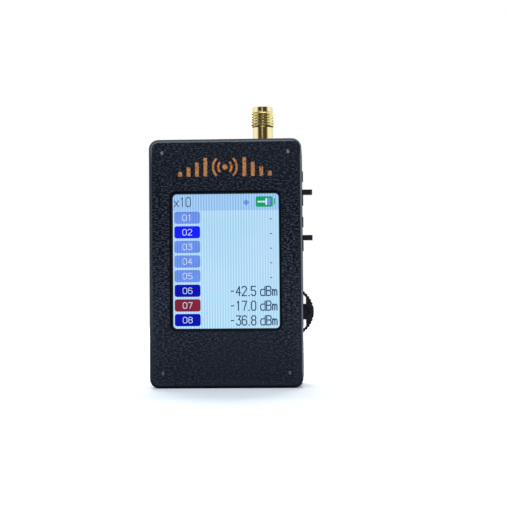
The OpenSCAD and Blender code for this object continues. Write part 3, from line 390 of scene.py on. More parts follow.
def case_plastic():
    """Dark moulded plastic with a leather-like grain that stops short of every edge, its colour carrying
    painted shade and painted highlights.
    """
    f = Finish("case_plastic", specular_ior_level=0.42)
    back, rise = f.split()[1:]
    outline = outline_distance(f)
    edge = f.math("MAXIMUM", outline, wall_gap(f, 1))
    window = window_distance(f)
    front = f.ramp(back, *FRONT_END)
    grained = f.product(f.ramp(edge, *GRAIN_FROM_EDGE), f.ramp(window, *GRAIN_FROM_WINDOW))
    height = grain(f)
    f.bump(f.product(height, grained), GRAIN_DEPTH)
    colour = f.mix(grained, smooth_colour(f, rise), grained_colour(f, rise, outline, height))
    # Edge wear, with a painted highlight along the top edge and a painted reflection along the right edge
    colour = f.mix(edge_wear_and_highlights(f, outline, edge, front), colour, linear(115, 122, 130))
    # Painted shade in a thin dark ring on the face around the window
    rim = f.ramp(window, *WINDOW_RIM_PAINTED_SHADE)
    colour = f.mix(rim, colour, linear(0, 4, 14))
    # Painted highlights in the dimples
    f.set("Base Color", f.mix(dimple_highlight(f, rise, front), colour, linear(140, 146, 152)))
    rough = f.ramp(f.math("MAXIMUM", grained, rim), *GRAIN_ROUGH)
    f.set("Roughness", f.math("MAXIMUM", rough, f.ramp(back, *SIDE_ROUGH)))
    return f.material


# Other finishes: sizes of their unevenness, and the values of noise over which they change
NOISE_SPAN = (0.3, 0.7)
LUMP_SIZE = 0.8 * MM
LUMP_DEPTH = 0.01 * MM
BRUSH_DEPTH = 0.006 * MM
FOAM_CELL = 0.3 * MM
FOAM_DEPTH = 0.06 * MM
WHITE_FOAM_DEPTH = 0.05 * MM
GOLD_PATCH = 1.3 * MM
TURNING_SIZE = 1.0 * MM
TURNING_STRETCH = (1, 1, 22)
TURNING_DEPTH = 0.004 * MM
TURNING_ROUGH = (*NOISE_SPAN, 0.07, 0.16)
TRACK_PITCH = 2.4 * MM
TRACK_SHARE = 0.06
TRACK_DEPTH = 0.02 * MM
MASK_PATCH = 0.5 * MM
MASK_ROUGH = (*NOISE_SPAN, 0.25, 0.45)
PAINT_LUMP = 0.45 * MM
PAINT_PATCH = 0.9 * MM
PAINT_DEPTH = 0.08 * MM
PAINT_DIRT = (0.48, 0.66, 0.0, 0.85)
PAINT_GLOSS = (*NOISE_SPAN, 0.5, 0.75)


def satin(name, dark, bright, rough, sizes, depth, shine):
    """A plastic whose colour, gloss and height each change at a size of their own."""
    colour_size, gloss_size, height_size = sizes
    f = Finish(name, specular_ior_level=shine)
    f.set("Base Color", f.mix(f.noise(colour_size, detail=3.0), dark, bright))
    f.set("Roughness", f.ramp(f.noise(gloss_size), *NOISE_SPAN, *rough))
    f.bump(f.noise(height_size, detail=3.0), depth)
    return f.material


def window_painted_shade():
    """Matt near black of the window's sloped edge, painted shade on faces of the case."""
    return satin("window_painted_shade", linear(2, 6, 13), linear(8, 13, 21), rough=(0.5, 0.7),
                 sizes=(0.6 * MM, 0.3 * MM, 0.2 * MM), depth=0.01 * MM, shine=0.06)


def switch_plastic():
    """Dark plastic of the switches and the jog lever."""
    return satin("switch_plastic", linear(25, 28, 42), linear(38, 42, 57), rough=(0.34, 0.5),
                 sizes=(0.9 * MM, 0.4 * MM, 0.16 * MM), depth=0.012 * MM, shine=0.45)


def gold_plate():
    """Polished gold plate with fine turning marks around the socket's axis."""
    f = Finish("gold_plate", metallic=1.0)
    patches = f.noise(GOLD_PATCH, detail=3.0)
    f.set("Base Color", f.mix(patches, linear(244, 227, 166), linear(253, 243, 196)))
    turned = f.noise(TURNING_SIZE, detail=3.0, roughness=0.6, place=f.stretch(TURNING_STRETCH))
    f.set("Roughness", f.ramp(turned, *TURNING_ROUGH))
    f.bump(turned, TURNING_DEPTH)
    return f.material


def uneven(f, lumps, dark, bright, rough, depth):
    """Lets one noise change a finish's colour, gloss and height."""
    f.set("Base Color", f.mix(lumps, dark, bright))
    f.set("Roughness", f.ramp(lumps, *NOISE_SPAN, *rough))
    f.bump(lumps, depth)
    return f.material


def metal(name, dark, bright, rough, brushed=(1, 1, 1)):
    """A bare metal with marks that may run along one axis."""
    f = Finish(name, metallic=1.0)
    lines = f.noise(LUMP_SIZE, detail=4.0, roughness=0.6, place=f.stretch(brushed))
    return uneven(f, lines, dark, bright, rough, BRUSH_DEPTH)


def moulding(name, dark, bright, rough, size=LUMP_SIZE, depth=LUMP_DEPTH):
    """A plastic, rubber, film or ceramic with small changes of colour, gloss and height."""
    f = Finish(name)
    lumps = f.noise(size, detail=4.0, roughness=0.6)
    return uneven(f, lumps, dark, bright, rough, depth)


def board_laminate():
    """Green solder mask with a net of copper tracks under it."""
    f = Finish("board_laminate", coat_weight=0.4)
    net = {"Vector": f.stretch((1, 0, 1)), "Scale": 1 / TRACK_PITCH, "Mortar Size": TRACK_SHARE,
           "Color1": BLACK, "Color2": BLACK, "Mortar": PURE_WHITE}
    tracks = f.add("TexBrick", net).outputs[0]
    f.set("Base Color", f.mix(tracks, linear(16, 66, 40), linear(44, 104, 62)))
    f.set("Roughness", f.ramp(f.noise(MASK_PATCH), *MASK_ROUGH))
    f.bump(tracks, TRACK_DEPTH)
    return f.material


def paint_orange():
    """Thick orange paint wiped into the engraving, rough and a little dirty."""
    f = Finish("paint_orange", specular_ior_level=0.3)
    grit = f.noise(PAINT_LUMP, detail=3.0, roughness=0.65)
    fresh = f.mix(f.noise(PAINT_PATCH), linear(196, 118, 56), linear(216, 152, 100))
    f.set("Base Color", f.mix(f.ramp(grit, *PAINT_DIRT), fresh, linear(84, 54, 34)))
    f.set("Roughness", f.ramp(grit, *PAINT_GLOSS))
    f.bump(grit, PAINT_DEPTH)
    return f.material


# Screen: its bar along the top, its dark border, its clouds and its faint upright stripes
STATUS_H = 4.45 * MM
LIT_BORDER = (-0.16 * MM, -0.1 * MM, 1.0, 0.0)
LIT_DEPTH = 0.1 * MM
GLASS_PATCH = 2 * MM
PAGE_CLOUD = 14 * MM
PAGE_CLOUD_SHARE = (0.35, 0.65, 0.0, 0.35)
INK_CLOUD = 3 * MM
INK_LEVEL = (*NOISE_SPAN, 0.94, 1.04)
STRIPE_PERIOD = 0.7 * MM
STRIPE_CLOUD = 9 * MM
STRIPE_LEVEL = (*NOISE_SPAN, 0.35, 1.0)
PAGE_STRIPE = 0.13
INK_STRIPE = 0.2


def stripes(f):
    """Faint upright waves across the screen, stronger in some places than in others."""
    wave = f.math("SINE", f.math("MULTIPLY", f.split()[0], 2 * math.pi / STRIPE_PERIOD))
    return f.product(wave, f.ramp(f.noise(STRIPE_CLOUD, detail=1.0), *STRIPE_LEVEL))


def display_glass():
    """Display glass: dark at its border, lit inside the window, with a darker bar along the top."""
    f = Finish("display_glass", roughness=0.1, specular_ior_level=0.2)
    back, rise = f.split()[1:]
    inside = f.ramp(window_distance(f), *LIT_BORDER)
    front = f.math("LESS_THAN", back, SCREEN_Y + LIT_DEPTH)
    height = f.ramp(rise, WINDOW_TOP - WINDOW_H, WINDOW_TOP)
    page = f.mix(height, linear(180, 222, 249), linear(173, 215, 242))
    cloud = f.ramp(f.noise(PAGE_CLOUD, detail=1.0), *PAGE_CLOUD_SHARE)
    page = f.mix(cloud, page, linear(196, 222, 250))
    bar = f.math("GREATER_THAN", rise, WINDOW_TOP - STATUS_H)
    shown = f.mix(bar, page, linear(156, 198, 241))
    ripple = f.math("MULTIPLY", stripes(f), PAGE_STRIPE)
    shown = f.add("VectorMath", {0: shown, 1: ripple}, operation="ADD").outputs[0]
    f.glow(f.mix(f.product(inside, front), BLACK, shown))
    f.set("Base Color", f.mix(f.noise(GLASS_PATCH), (0.004, 0.005, 0.007, 1), (0.008, 0.009, 0.012, 1)))
    return f.material


def screen_ink(name, colour):
    """One colour shown by the display."""
    f = Finish(name, base_color=(0.002, 0.002, 0.003, 1), roughness=0.1, specular_ior_level=0.1)
    cloud = f.ramp(f.noise(INK_CLOUD), *INK_LEVEL)
    ripple = f.math("MULTIPLY_ADD", stripes(f), INK_STRIPE, cloud)
    f.glow(f.add("VectorMath", {0: colour[:3], "Scale": ripple}, operation="SCALE").outputs[0])
    return f.material


CASE = case_plastic()
# Painted shade for the window's sloped edge
WINDOW_SLOPE_PAINTED_SHADE = window_painted_shade()
SWITCH = switch_plastic()
GOLD = gold_plate()
STEEL = metal("screw_steel", linear(150, 152, 156), linear(196, 198, 202), (0.22, 0.4))
TIN = metal("tinned_sheet", linear(176, 178, 182), linear(214, 216, 218), (0.18, 0.34), (1, 6, 1))
FOIL = metal("cell_foil", linear(168, 171, 176), linear(205, 207, 211), (0.3, 0.5))
CHIP = moulding("chip_plastic", linear(16, 17, 19), linear(34, 35, 38), (0.45, 0.65))
FOAM = moulding("foam", linear(24, 25, 28), linear(46, 47, 51), (0.8, 0.95), FOAM_CELL, FOAM_DEPTH)
FOAM_WHITE = moulding("foam_white", linear(214, 211, 203), linear(236, 234, 228), (0.75, 0.9),
                      FOAM_CELL, WHITE_FOAM_DEPTH)
BACKLIGHT = moulding("backlight_plastic", linear(224, 222, 215), linear(240, 239, 234), (0.3, 0.45))
FILM = moulding("ribbon_film", linear(186, 112, 34), linear(214, 146, 62), (0.25, 0.4))
BOARD = board_laminate()
CERAMIC = moulding("passive_ceramic", linear(150, 132, 104), linear(186, 168, 140), (0.5, 0.7))
RED_LEAD = moulding("lead_red", linear(150, 22, 28), linear(190, 40, 44), (0.4, 0.55))
BLACK_LEAD = moulding("lead_black", linear(20, 20, 22), linear(38, 38, 41), (0.4, 0.55))
WHITE = moulding("white_plastic", linear(226, 223, 213), linear(243, 241, 234), (0.35, 0.5))
GLASS = display_glass()
ORANGE = paint_orange()
INK = {
    "light": screen_ink("screen_light_blue", linear(108, 146, 234)),
    "blue": screen_ink("screen_blue", linear(22, 31, 253)),
    "navy": screen_ink("screen_navy", linear(11, 18, 178)),
    "red": screen_ink("screen_red", linear(128, 36, 58)),
    "white": screen_ink("screen_white", linear(214, 230, 255)),
    "dark": screen_ink("screen_dark", linear(30, 52, 84)),
    "green": screen_ink("screen_green", linear(14, 164, 108)),
}

# Finish of each solid
NODE_FINISH = {
    "front_case": CASE, "back_cover": CASE, "case_screws": STEEL,
    "display_gasket": FOAM, "lcd_panel": GLASS, "lcd_driver": CHIP, "lcd_backlight": BACKLIGHT,
    "lcd_ribbon": FILM, "display_pad": FOAM,
    "main_board": BOARD, "microcontroller": CHIP, "rf_shield": TIN, "rf_detector": CHIP,
    "clock_crystal": TIN, "charger_chip": CHIP, "power_coil": CHIP, "passive_parts": CERAMIC,
    "battery_cell": FOIL, "battery_adhesive": FOAM_WHITE, "battery_guard": FILM,
    "battery_lead_red": RED_LEAD, "battery_lead_black": BLACK_LEAD,
    "battery_plug": WHITE, "battery_socket": WHITE,
    "antenna_socket": GOLD, "socket_insulator": WHITE, "socket_contact": GOLD,
    "power_switch_body": SWITCH, "power_switch_slider": SWITCH,
    "range_switch_body": SWITCH, "range_switch_slider": SWITCH, "switch_terminals": TIN,
    "jog_base": SWITCH, "jog_carrier": WHITE, "jog_pivot_pin": STEEL, "jog_lever": SWITCH,
    "jog_clip": STEEL, "jog_spring": STEEL, "jog_dome": TIN,
    "usb_shell": TIN, "usb_tongue": CHIP,
}
for node_name, finish in NODE_FINISH.items():
    nodes[node_name].data.materials.clear()
    nodes[node_name].data.materials.append(finish)


def slot_of(node):
    """The record's material slot of a solid."""
    return next(part["material_slot"] for part in frame["record"]["subparts"] if part["node"] == node)


def placed(name, data):
    """A new object in the scene."""
    obj = bpy.data.objects.new(name, data)
    bpy.context.scene.collection.objects.link(obj)
    return obj


def piece(name, bm, body, slot, *materials):
    """A new mesh that rides on a body, or on none yet."""
    mesh = bpy.data.meshes.new(name)
    bmesh.ops.recalc_face_normals(bm, faces=bm.faces)
    bm.to_mesh(mesh)
    bm.free()
    for material in materials:
        mesh.materials.append(material)
    obj = placed(name, mesh)
    if body:
        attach(obj, body)
    return obj


# Softened copies of solid pieces
WELD = 0.001 * MM
FLAT_ANGLE = math.radians(0.5)
SHARP_ANGLE = math.radians(35)
SOFT_SEGMENTS = 2
SOFT_WIDTHS = {
    "front_case": 0.12 * MM, "back_cover": 0.12 * MM, "case_screws": 0.12 * MM, "jog_lever": 0.14 * MM,
    "power_switch_body": 0.12 * MM, "range_switch_body": 0.12 * MM,
    "power_switch_slider": 0.14 * MM, "range_switch_slider": 0.14 * MM,
    "usb_shell": 0.08 * MM, "usb_tongue": 0.08 * MM,
    "socket_insulator": 0.1 * MM, "socket_contact": 0.06 * MM,
}


def softened(node, width):
    """A copy of a solid with its sharp edges rounded, which stands for that solid."""
    source = nodes[node]
    bm = bmesh.new()
    bm.from_mesh(source.data)
    bmesh.ops.remove_doubles(bm, verts=bm.verts, dist=WELD)
    bmesh.ops.dissolve_limit(bm, angle_limit=FLAT_ANGLE, verts=bm.verts, edges=bm.edges)
    for face in bm.faces:
        face.smooth = True
    obj = piece(node + "_soft", bm, source["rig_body"], slot_of(node), NODE_FINISH[node])
    bevel = obj.modifiers.new("soft_edges", "BEVEL")
    bevel.width = width
    bevel.segments = SOFT_SEGMENTS
    bevel.limit_method = "ANGLE"
    bevel.angle_limit = SHARP_ANGLE
    even = obj.modifiers.new("even_normals", "WEIGHTED_NORMAL")
    even.keep_sharp = True
    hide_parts(node)


for node_name, soft_width in SOFT_WIDTHS.items():
    softened(node_name, soft_width)

# Faces of the window's sloped edge: how far they lie around the window and behind the face
SLOPE_REACH = 1.5 * MM
SLOPE_DEEPEST = 2.5 * MM
FLAT_NORMAL = 0.95


def paint_shade_on_window_slope(case):
    """Gives the faces of the window's sloped edge a near-black finish, as painted shade."""
    case.data.materials.append(WINDOW_SLOPE_PAINTED_SHADE)
    for face in case.data.polygons:
        beside = abs(face.center.x) - WINDOW_W / 2
        above = abs(face.center.z - WINDOW_Z) - WINDOW_H / 2
        near = max(beside, above) < SLOPE_REACH and face.center.y < FACE_Y + SLOPE_DEEPEST
        if near and abs(face.normal.y) <= FLAT_NORMAL:
            face.material_index = 1


paint_shade_on_window_slope(bpy.data.objects["front_case_soft"])


def grid(bm, rows, close_rows=False, close_columns=False):
    """Quads between rows of points that all have the same count."""
    made = [[bm.verts.new(point) for point in row] for row in rows]
    count = len(made[0])
    for i in range(len(made) if close_rows else len(made) - 1):
        upper, lower = made[i], made[(i + 1) % len(made)]
        for j in range(count if close_columns else count - 1):
            k = (j + 1) % count
            bm.faces.new((upper[j], upper[k], lower[k], lower[j])).smooth = True
    return made


def tube(bm, rows):
    """Closed rows of points, joined and capped at both ends."""
    made = grid(bm, rows, close_columns=True)
    return [bm.faces.new(end) for end in (made[0], made[-1])]


def block(bm, low, high):
    """A closed box between two corners."""
    made = bmesh.ops.create_cube(bm, size=1.0)
    middle = [(low[i] + high[i]) / 2 for i in range(3)]
    size = [high[i] - low[i] for i in range(3)]
    place = Matrix.Translation(middle) @ Matrix.Diagonal((*size, 1))
    bmesh.ops.transform(bm, matrix=place, verts=made["verts"])


# Antenna socket: a true helix where the solid has closed ridges
SOCKET_X = (CONTACT_LOW.x + CONTACT_HIGH.x) / 2
SOCKET_Y = (CONTACT_LOW.y + CONTACT_HIGH.y) / 2
SOCKET_TOP = SOCKET_HIGH.z
BORE_R = (INSULATOR_HIGH.x - INSULATOR_LOW.x) / 2
BORE_TOP = INSULATOR_HIGH.z
MOUTH_R = 2.3 * MM
RIM_CHAMFER = 0.12 * MM
FLANGE_HALF = (SOCKET_HIGH.x - SOCKET_LOW.x) / 2
FLANGE_Z = INSULATOR_LOW.z
FLANGE_T = 1.6 * MM
LEG_W = 0.9 * MM
NECK_R = 2.7 * MM
PLAIN_END = 1.3 * MM
THREAD_R = 3.175 * MM
THREAD_PITCH = 0.7 * MM
THREAD_DEPTH = 0.4 * MM
THREAD_TURNS = 6
THREAD_END = SOCKET_TOP - PLAIN_END
THREAD_START = THREAD_END - THREAD_TURNS * THREAD_PITCH
CREST_W = 0.1 * MM
START_CONE = 1.1
END_CONE = 3
AROUND = 144
STEPS_A_TURN = 14


def thread_radius(angle, z):
    """Radius of the right-hand thread at an angle and height, cut by a cone at each end."""
    turn = (z - THREAD_START) / THREAD_PITCH - angle / (2 * math.pi)
    from_crest = abs(turn - math.floor(turn) - 0.5) * THREAD_PITCH
    slope = (THREAD_PITCH - CREST_W) / 2
    height = min(1.0, max(0.0, 1 - (from_crest - CREST_W / 2) / slope))
    cone = NECK_R + min(START_CONE * (z - THREAD_START), END_CONE * (THREAD_END - z))
    return max(NECK_R, min(THREAD_R - THREAD_DEPTH * (1 - height), cone))


def socket_ring(z, radius_at):
    """Points around the socket's axis, at a radius that may change with the angle."""
    points = []
    for i in range(AROUND):
        angle = 2 * math.pi * i / AROUND
        radius = radius_at(angle)
        points.append((SOCKET_X + radius * math.cos(angle), SOCKET_Y + radius * math.sin(angle), z))
    return points


def round_ring(z, radius):
    """A round ring of the socket."""
    return socket_ring(z, lambda angle: radius)


def square_ring(z):
    """The square outline of the socket's flange."""
    return socket_ring(z, lambda angle: FLANGE_HALF / max(abs(math.cos(angle)), abs(math.sin(angle))))


def socket_skin(bm):
    """The socket's skin: out over the flange, up the thread, over the rim and down the mouth."""
    flange_top = FLANGE_Z + FLANGE_T
    rows = [round_ring(FLANGE_Z, BORE_R), square_ring(FLANGE_Z), square_ring(flange_top),
            round_ring(flange_top, NECK_R)]
    for step in range(THREAD_TURNS * STEPS_A_TURN + 1):
        z = THREAD_START + step * THREAD_PITCH / STEPS_A_TURN
        rows.append(socket_ring(z, lambda angle: thread_radius(angle, z)))
    chamfer_z = SOCKET_TOP - RIM_CHAMFER
    rows += [round_ring(chamfer_z, NECK_R), round_ring(SOCKET_TOP, NECK_R - RIM_CHAMFER),
             round_ring(SOCKET_TOP, MOUTH_R + RIM_CHAMFER), round_ring(chamfer_z, MOUTH_R),
             round_ring(BORE_TOP, MOUTH_R), round_ring(BORE_TOP, BORE_R)]
    grid(bm, rows, close_rows=True, close_columns=True)


def socket_legs(bm):
    """The four legs under the flange, two on each face of the board."""
    for x in (SOCKET_X - FLANGE_HALF, SOCKET_X + FLANGE_HALF - LEG_W):
        for y in (BOARD_LOW.y - LEG_W, BOARD_HIGH.y):
            block(bm, (x, y, SOCKET_LOW.z), (x + LEG_W, y + LEG_W, FLANGE_Z))


def antenna_socket():
    """The gold socket with its threaded end."""
    bm = bmesh.new()
    socket_skin(bm)
    socket_legs(bm)
    obj = piece("antenna_socket_threaded", bm, "case", "gold_plate", GOLD)
    obj.data.set_sharp_from_angle(angle=SHARP_ANGLE)
    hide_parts("antenna_socket")


antenna_socket()

# Jog: its centring spring as a strip bent round a post, and its snap dome as a cap of a sphere
SPRING_T = 0.25 * MM
PRONG_STEPS = 24
LOOP_STEPS = 16
DOME_RINGS = 10
DOME_AROUND = 40


def jog_spring():
    """A strip bent round the carrier's post, whose two prongs go with the lever's tail."""
    low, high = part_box("jog_spring")
    outer = (high.z - low.z) / 2
    radius = outer - SPRING_T / 2
    post_x, post_z = low.x + outer, (low.z + high.z) / 2
    prong = [high.x + (post_x - high.x) * i / PRONG_STEPS for i in range(PRONG_STEPS)]
    path = [(x, post_z + radius, 0, 1) for x in prong]
    for i in range(LOOP_STEPS + 1):
        angle = math.pi * (0.5 + i / LOOP_STEPS)
        side_x, side_z = math.cos(angle), math.sin(angle)
        path.append((post_x + radius * side_x, post_z + radius * side_z, side_x, side_z))
    path += [(x, post_z - radius, 0, -1) for x in reversed(prong)]
    near, far = -SPRING_T / 2, SPRING_T / 2
    corners = [(near, low.y), (far, low.y), (far, high.y), (near, high.y)]
    rows = []
    for x, z, side_x, side_z in path:
        rows.append([(x + s * side_x, y, z + s * side_z) for s, y in corners])
    bm = bmesh.new()
    tube(bm, rows)
    obj = piece("jog_spring_strip", bm, None, slot_of("jog_spring"), STEEL)
    obj.data.set_sharp_from_angle(angle=SHARP_ANGLE)
    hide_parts("jog_spring")
    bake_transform(obj)


def jog_dome():
    """A cap of a sphere that flattens against its wall."""
    low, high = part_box("jog_dome")
    middle = (low + high) / 2
    radius, height = (high.z - low.z) / 2, high.x - low.x
    ball = (radius ** 2 + height ** 2) / (2 * height)
    reach = math.asin(radius / ball)
    around = [2 * math.pi * j / DOME_AROUND for j in range(DOME_AROUND)]
    rows = []
    for i in range(DOME_RINGS):
        tilt = reach * (1 - i / DOME_RINGS)
        x, r = high.x - ball * (1 - math.cos(tilt)), ball * math.sin(tilt)
        rows.append([(x, middle.y + r * math.cos(a), middle.z + r * math.sin(a)) for a in around])
    bm = bmesh.new()
    tip = tube(bm, rows)[1]
    tip.smooth = True
    obj = piece("jog_dome_cap", bm, "case", slot_of("jog_dome"), TIN)
    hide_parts("jog_dome")
    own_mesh(obj)


jog_spring()
jog_dome()

# Orange paint in the engraved motif; these sizes are the engraving's own
MOTIF_Z = 57.6 * MM
MOTIF_FLOOR = FACE_Y + 0.3 * MM
DOT_R = 0.8 * MM
ARC_R = 1.75 * MM
ARC_W = 0.75 * MM
ARC_STEP = 1.35 * MM
ARC_COUNT = 2
ARC_SWEEP = math.radians(48)
BAR_W = 1.15 * MM
BAR_STEP = 2.2 * MM
BAR_GAP = 1.05 * MM
BAR_H = 5.0 * MM
BAR_FALL = 1.2 * MM
BAR_COUNT = 4

# Its surface: how deep, how rough and how far from the engraving's walls
PAINT_GRIT = 0.2 * MM
GRIT_SHARE = 0.5
PAINT_SUNK = 0.03 * MM
PAINT_ROUGH = 0.05 * MM
PAINT_MEAN = 0.8
PAINT_SWING = 0.6
PAINT_SAG = 0.08 * MM
PAINT_GAP = 0.03 * MM
PAINT_CELL = 0.14 * MM
LEAST_CELLS = 4
LEAST_ARC_CELLS = 6
DOT_AROUND = 32


def paint_level(x, z):
    """Depth of the paint's uneven surface at a point of the face."""
    lumps = noise.noise(Vector((x, 0, z)) / PAINT_LUMP)
    grit = noise.noise(Vector((z, x, 0)) / PAINT_GRIT)
    return FACE_Y + PAINT_SUNK + PAINT_ROUGH * (PAINT_MEAN + PAINT_SWING * (lumps + GRIT_SHARE * grit))


def paint_strip(bm, path, width):
    """A closed strip of paint along a path of (x, z, right_x, right_z), flat below and rough on top."""
    across = max(LEAST_CELLS, round(width / PAINT_CELL))
    edge = width / 2 - PAINT_GAP
    rows = []
    for x, z, side_x, side_z in path:
        tops = []
        for i in range(across + 1):
            s = edge * (2 * i / across - 1)
            px, pz = x + s * side_x, z + s * side_z
            sag = PAINT_SAG if i in (0, across) else 0
            tops.append((px, paint_level(px, pz) + sag, pz))
        left, right = tops[0], tops[-1]
        rows.append([(left[0], MOTIF_FLOOR, left[2]), *tops, (right[0], MOTIF_FLOOR, right[2])])
    tube(bm, rows)


def paint_bar(bm, x, low, high):
    """Paint in an upright bar."""
    count = max(LEAST_CELLS, round((high - low) / PAINT_CELL))
    start, end = low + PAINT_GAP, high - PAINT_GAP
    path = [(x, start + (end - start) * i / count, 1, 0) for i in range(count + 1)]
    paint_strip(bm, path, BAR_W)


def paint_arc(bm, radius, middle):
    """Paint in an arc around the dot, to both sides of a middle angle."""
    count = max(LEAST_ARC_CELLS, round(2 * ARC_SWEEP * radius / PAINT_CELL))
    half = ARC_SWEEP - PAINT_GAP / radius
    path = []
    for i in range(count + 1):
        angle = middle - half + 2 * half * i / count
        side_x, side_z = math.cos(angle), math.sin(angle)
        path.append((radius * side_x, MOTIF_Z + radius * side_z, side_x, side_z))
    paint_strip(bm, path, ARC_W)


def paint_dot(bm):
    """Paint in the dot."""
    rings = max(LEAST_CELLS, round(DOT_R / PAINT_CELL))
    angles = [2 * math.pi * j / DOT_AROUND for j in range(DOT_AROUND)]
    rows = []
    for i in range(1, rings + 1):
        r = (DOT_R - PAINT_GAP) * i / rings
        sag = PAINT_SAG if i == rings else 0
        points = [(r * math.cos(a), MOTIF_Z + r * math.sin(a)) for a in angles]
        rows.append([(x, paint_level(x, z) + sag, z) for x, z in points])
    rows.append([(x, MOTIF_FLOOR, z) for x, y, z in rows[-1]])
    tube(bm, rows)


def motif_paint():
    """A dot, waves on both sides of it and falling bars beside them."""
    bm = bmesh.new()
    paint_dot(bm)
    for i in range(ARC_COUNT):
        for middle in (0, math.pi):
            paint_arc(bm, ARC_R + i * ARC_STEP, middle)
    first = ARC_R + (ARC_COUNT - 1) * ARC_STEP + ARC_W / 2 + BAR_GAP + BAR_W / 2
    base = MOTIF_Z - BAR_H / 2
    for i in range(BAR_COUNT):
        for side in (-1, 1):
            paint_bar(bm, side * (first + i * BAR_STEP), base, base + BAR_H - i * BAR_FALL)
    piece("motif_paint", bm, "case", "case_plastic", ORANGE)


motif_paint()

# What the display shows, as thin layers: some on its glass, some over another layer
LAYER = 0.02 * MM
LAYER_GAP = LAYER / 4
UNDER, OVER = 1, 2
CORNER_STEPS = 6

# Lettering: its sizes, and each glyph as lines on a field 4 units wide and 6 high
Lettering = namedtuple("Lettering", "height pitch stroke narrow")
LABEL = Lettering(height=1.5 * MM, pitch=1.4 * MM, stroke=0.155 * MM, narrow=1.0)
READING = Lettering(height=2.4 * MM, pitch=1.56 * MM, stroke=0.28 * MM, narrow=0.72)
DASH = Lettering(height=1.5 * MM, pitch=1.56 * MM, stroke=0.2 * MM, narrow=0.72)
FACTOR = Lettering(height=2.4 * MM, pitch=1.55 * MM, stroke=0.21 * MM, narrow=0.72)
GLYPH_UNITS = 6
POINT_INSET = 1.2
SHORT_STEP = 0.55
STROKE_OVERRUN = 0.6
GLYPHS = {
    "0": [[(0, 1), (1, 0), (3, 0), (4, 1), (4, 5), (3, 6), (1, 6), (0, 5), (0, 1)]],
    "1": [[(1, 5), (2, 6), (2, 0)]],
    "2": [[(0, 5), (1, 6), (3, 6), (4, 5), (4, 4), (0, 0), (4, 0)]],
    "3": [[(0, 6), (4, 6), (2, 3.6), (3, 3.6), (4, 2.6), (4, 1), (3, 0), (1, 0), (0, 1)]],
    "4": [[(3, 0), (3, 6), (0, 2), (4, 2)]],
    "5": [[(4, 6), (0, 6), (0, 3.5), (3, 3.5), (4, 2.5), (4, 1), (3, 0), (1, 0), (0, 1)]],
    "6": [[(4, 5), (3, 6), (1, 6), (0, 5), (0, 1), (1, 0), (3, 0), (4, 1), (4, 2.5), (3, 3.5), (0, 3.5)]],
    "7": [[(0, 6), (4, 6), (1.5, 0)]],
    "8": [[(1, 3.3), (0, 4.2), (0, 5), (1, 6), (3, 6), (4, 5), (4, 4.2), (3, 3.3), (1, 3.3)],
          [(1, 3.3), (0, 2.3), (0, 1), (1, 0), (3, 0), (4, 1), (4, 2.3), (3, 3.3)]],
    "-": [[(0.8, 3), (3.2, 3)]],
    ".": [[(1.6, 0), (2.4, 0)]],
    "x": [[(0, 0), (4, 4)], [(0, 4), (4, 0)]],
    "m": [[(0, 0), (0, 4)], [(0, 3), (1, 4), (2, 3), (2, 0)], [(2, 3), (3, 4), (4, 3), (4, 0)]],
    "d": [[(4, 6), (4, 0), (1, 0), (0, 1), (0, 3), (1, 4), (4, 4)]],
    "B": [[(3, 3.2), (0, 3.2), (0, 6), (3, 6), (4, 5), (4, 4.2), (3, 3.2),
           (4, 2.2), (4, 1), (3, 0), (0, 0), (0, 3.2)]],
    " ": [],
}


def on_screen(right, down):
    """A point of the screen, given from its upper left corner."""
    return WINDOW_LEFT + right, WINDOW_TOP - down


def slab(bm, outline, layer, material_index=0):
    """A thin closed layer with that outline of (x, z) points, in front of the glass."""
    back = SCREEN_Y - (layer - 1) * LAYER - LAYER_GAP
    front = SCREEN_Y - layer * LAYER
    rows = [[bm.verts.new((x, y, z)) for x, z in outline] for y in (back, front)]
    faces = [bm.faces.new(row) for row in rows]
    for j in range(len(outline)):
        k = (j + 1) % len(outline)
        faces.append(bm.faces.new((rows[0][j], rows[0][k], rows[1][k], rows[1][j])))
    for face in faces:
        face.material_index = material_index


def round_outline(left, top, width, height, radius):
    """Outline of a rectangle with round corners, from its upper left corner on the screen."""
    points = []
    corners = [(width - radius, radius, 0), (radius, radius, 90), (radius, height - radius, 180),
               (width - radius, height - radius, 270)]
    for right, down, first in corners:
        for i in range(CORNER_STEPS + 1):
            a = math.radians(first + 90 * i / CORNER_STEPS)
            points.append(on_screen(left + right + radius * math.cos(a), top + down - radius * math.sin(a)))
    return points


def stroke(bm, points, width, layer):
    """Draws a line of straight strokes, each a thin bar with slightly longer ends."""
    for start, end in zip(points, points[1:]):
        a, b = Vector(start), Vector(end)
        along = (b - a).normalized() * width / 2
        side = Vector((-along.y, along.x))
        a, b = a - along * STROKE_OVERRUN, b + along * STROKE_OVERRUN
        slab(bm, [tuple(p) for p in (a - side, b - side, b + side, a + side)], layer)


def advance(letter, pitch):
    """Width that a letter takes in a line; a point or a space takes less."""
    return pitch * (SHORT_STEP if letter in ". " else 1.0)


def write(bm, text, left, baseline, style, layer):
    """Writes glyphs from a left edge and a baseline, both measured from the screen's corner."""
    unit_z = style.height / GLYPH_UNITS
    unit_x = unit_z * style.narrow
    for letter in text:
        start = left - (POINT_INSET * unit_x if letter == "." else 0)
        for line in GLYPHS[letter]:
            points = [on_screen(start + x * unit_x, baseline - z * unit_z) for x, z in line]
            stroke(bm, points, style.stroke, layer)
        left += advance(letter, style.pitch)


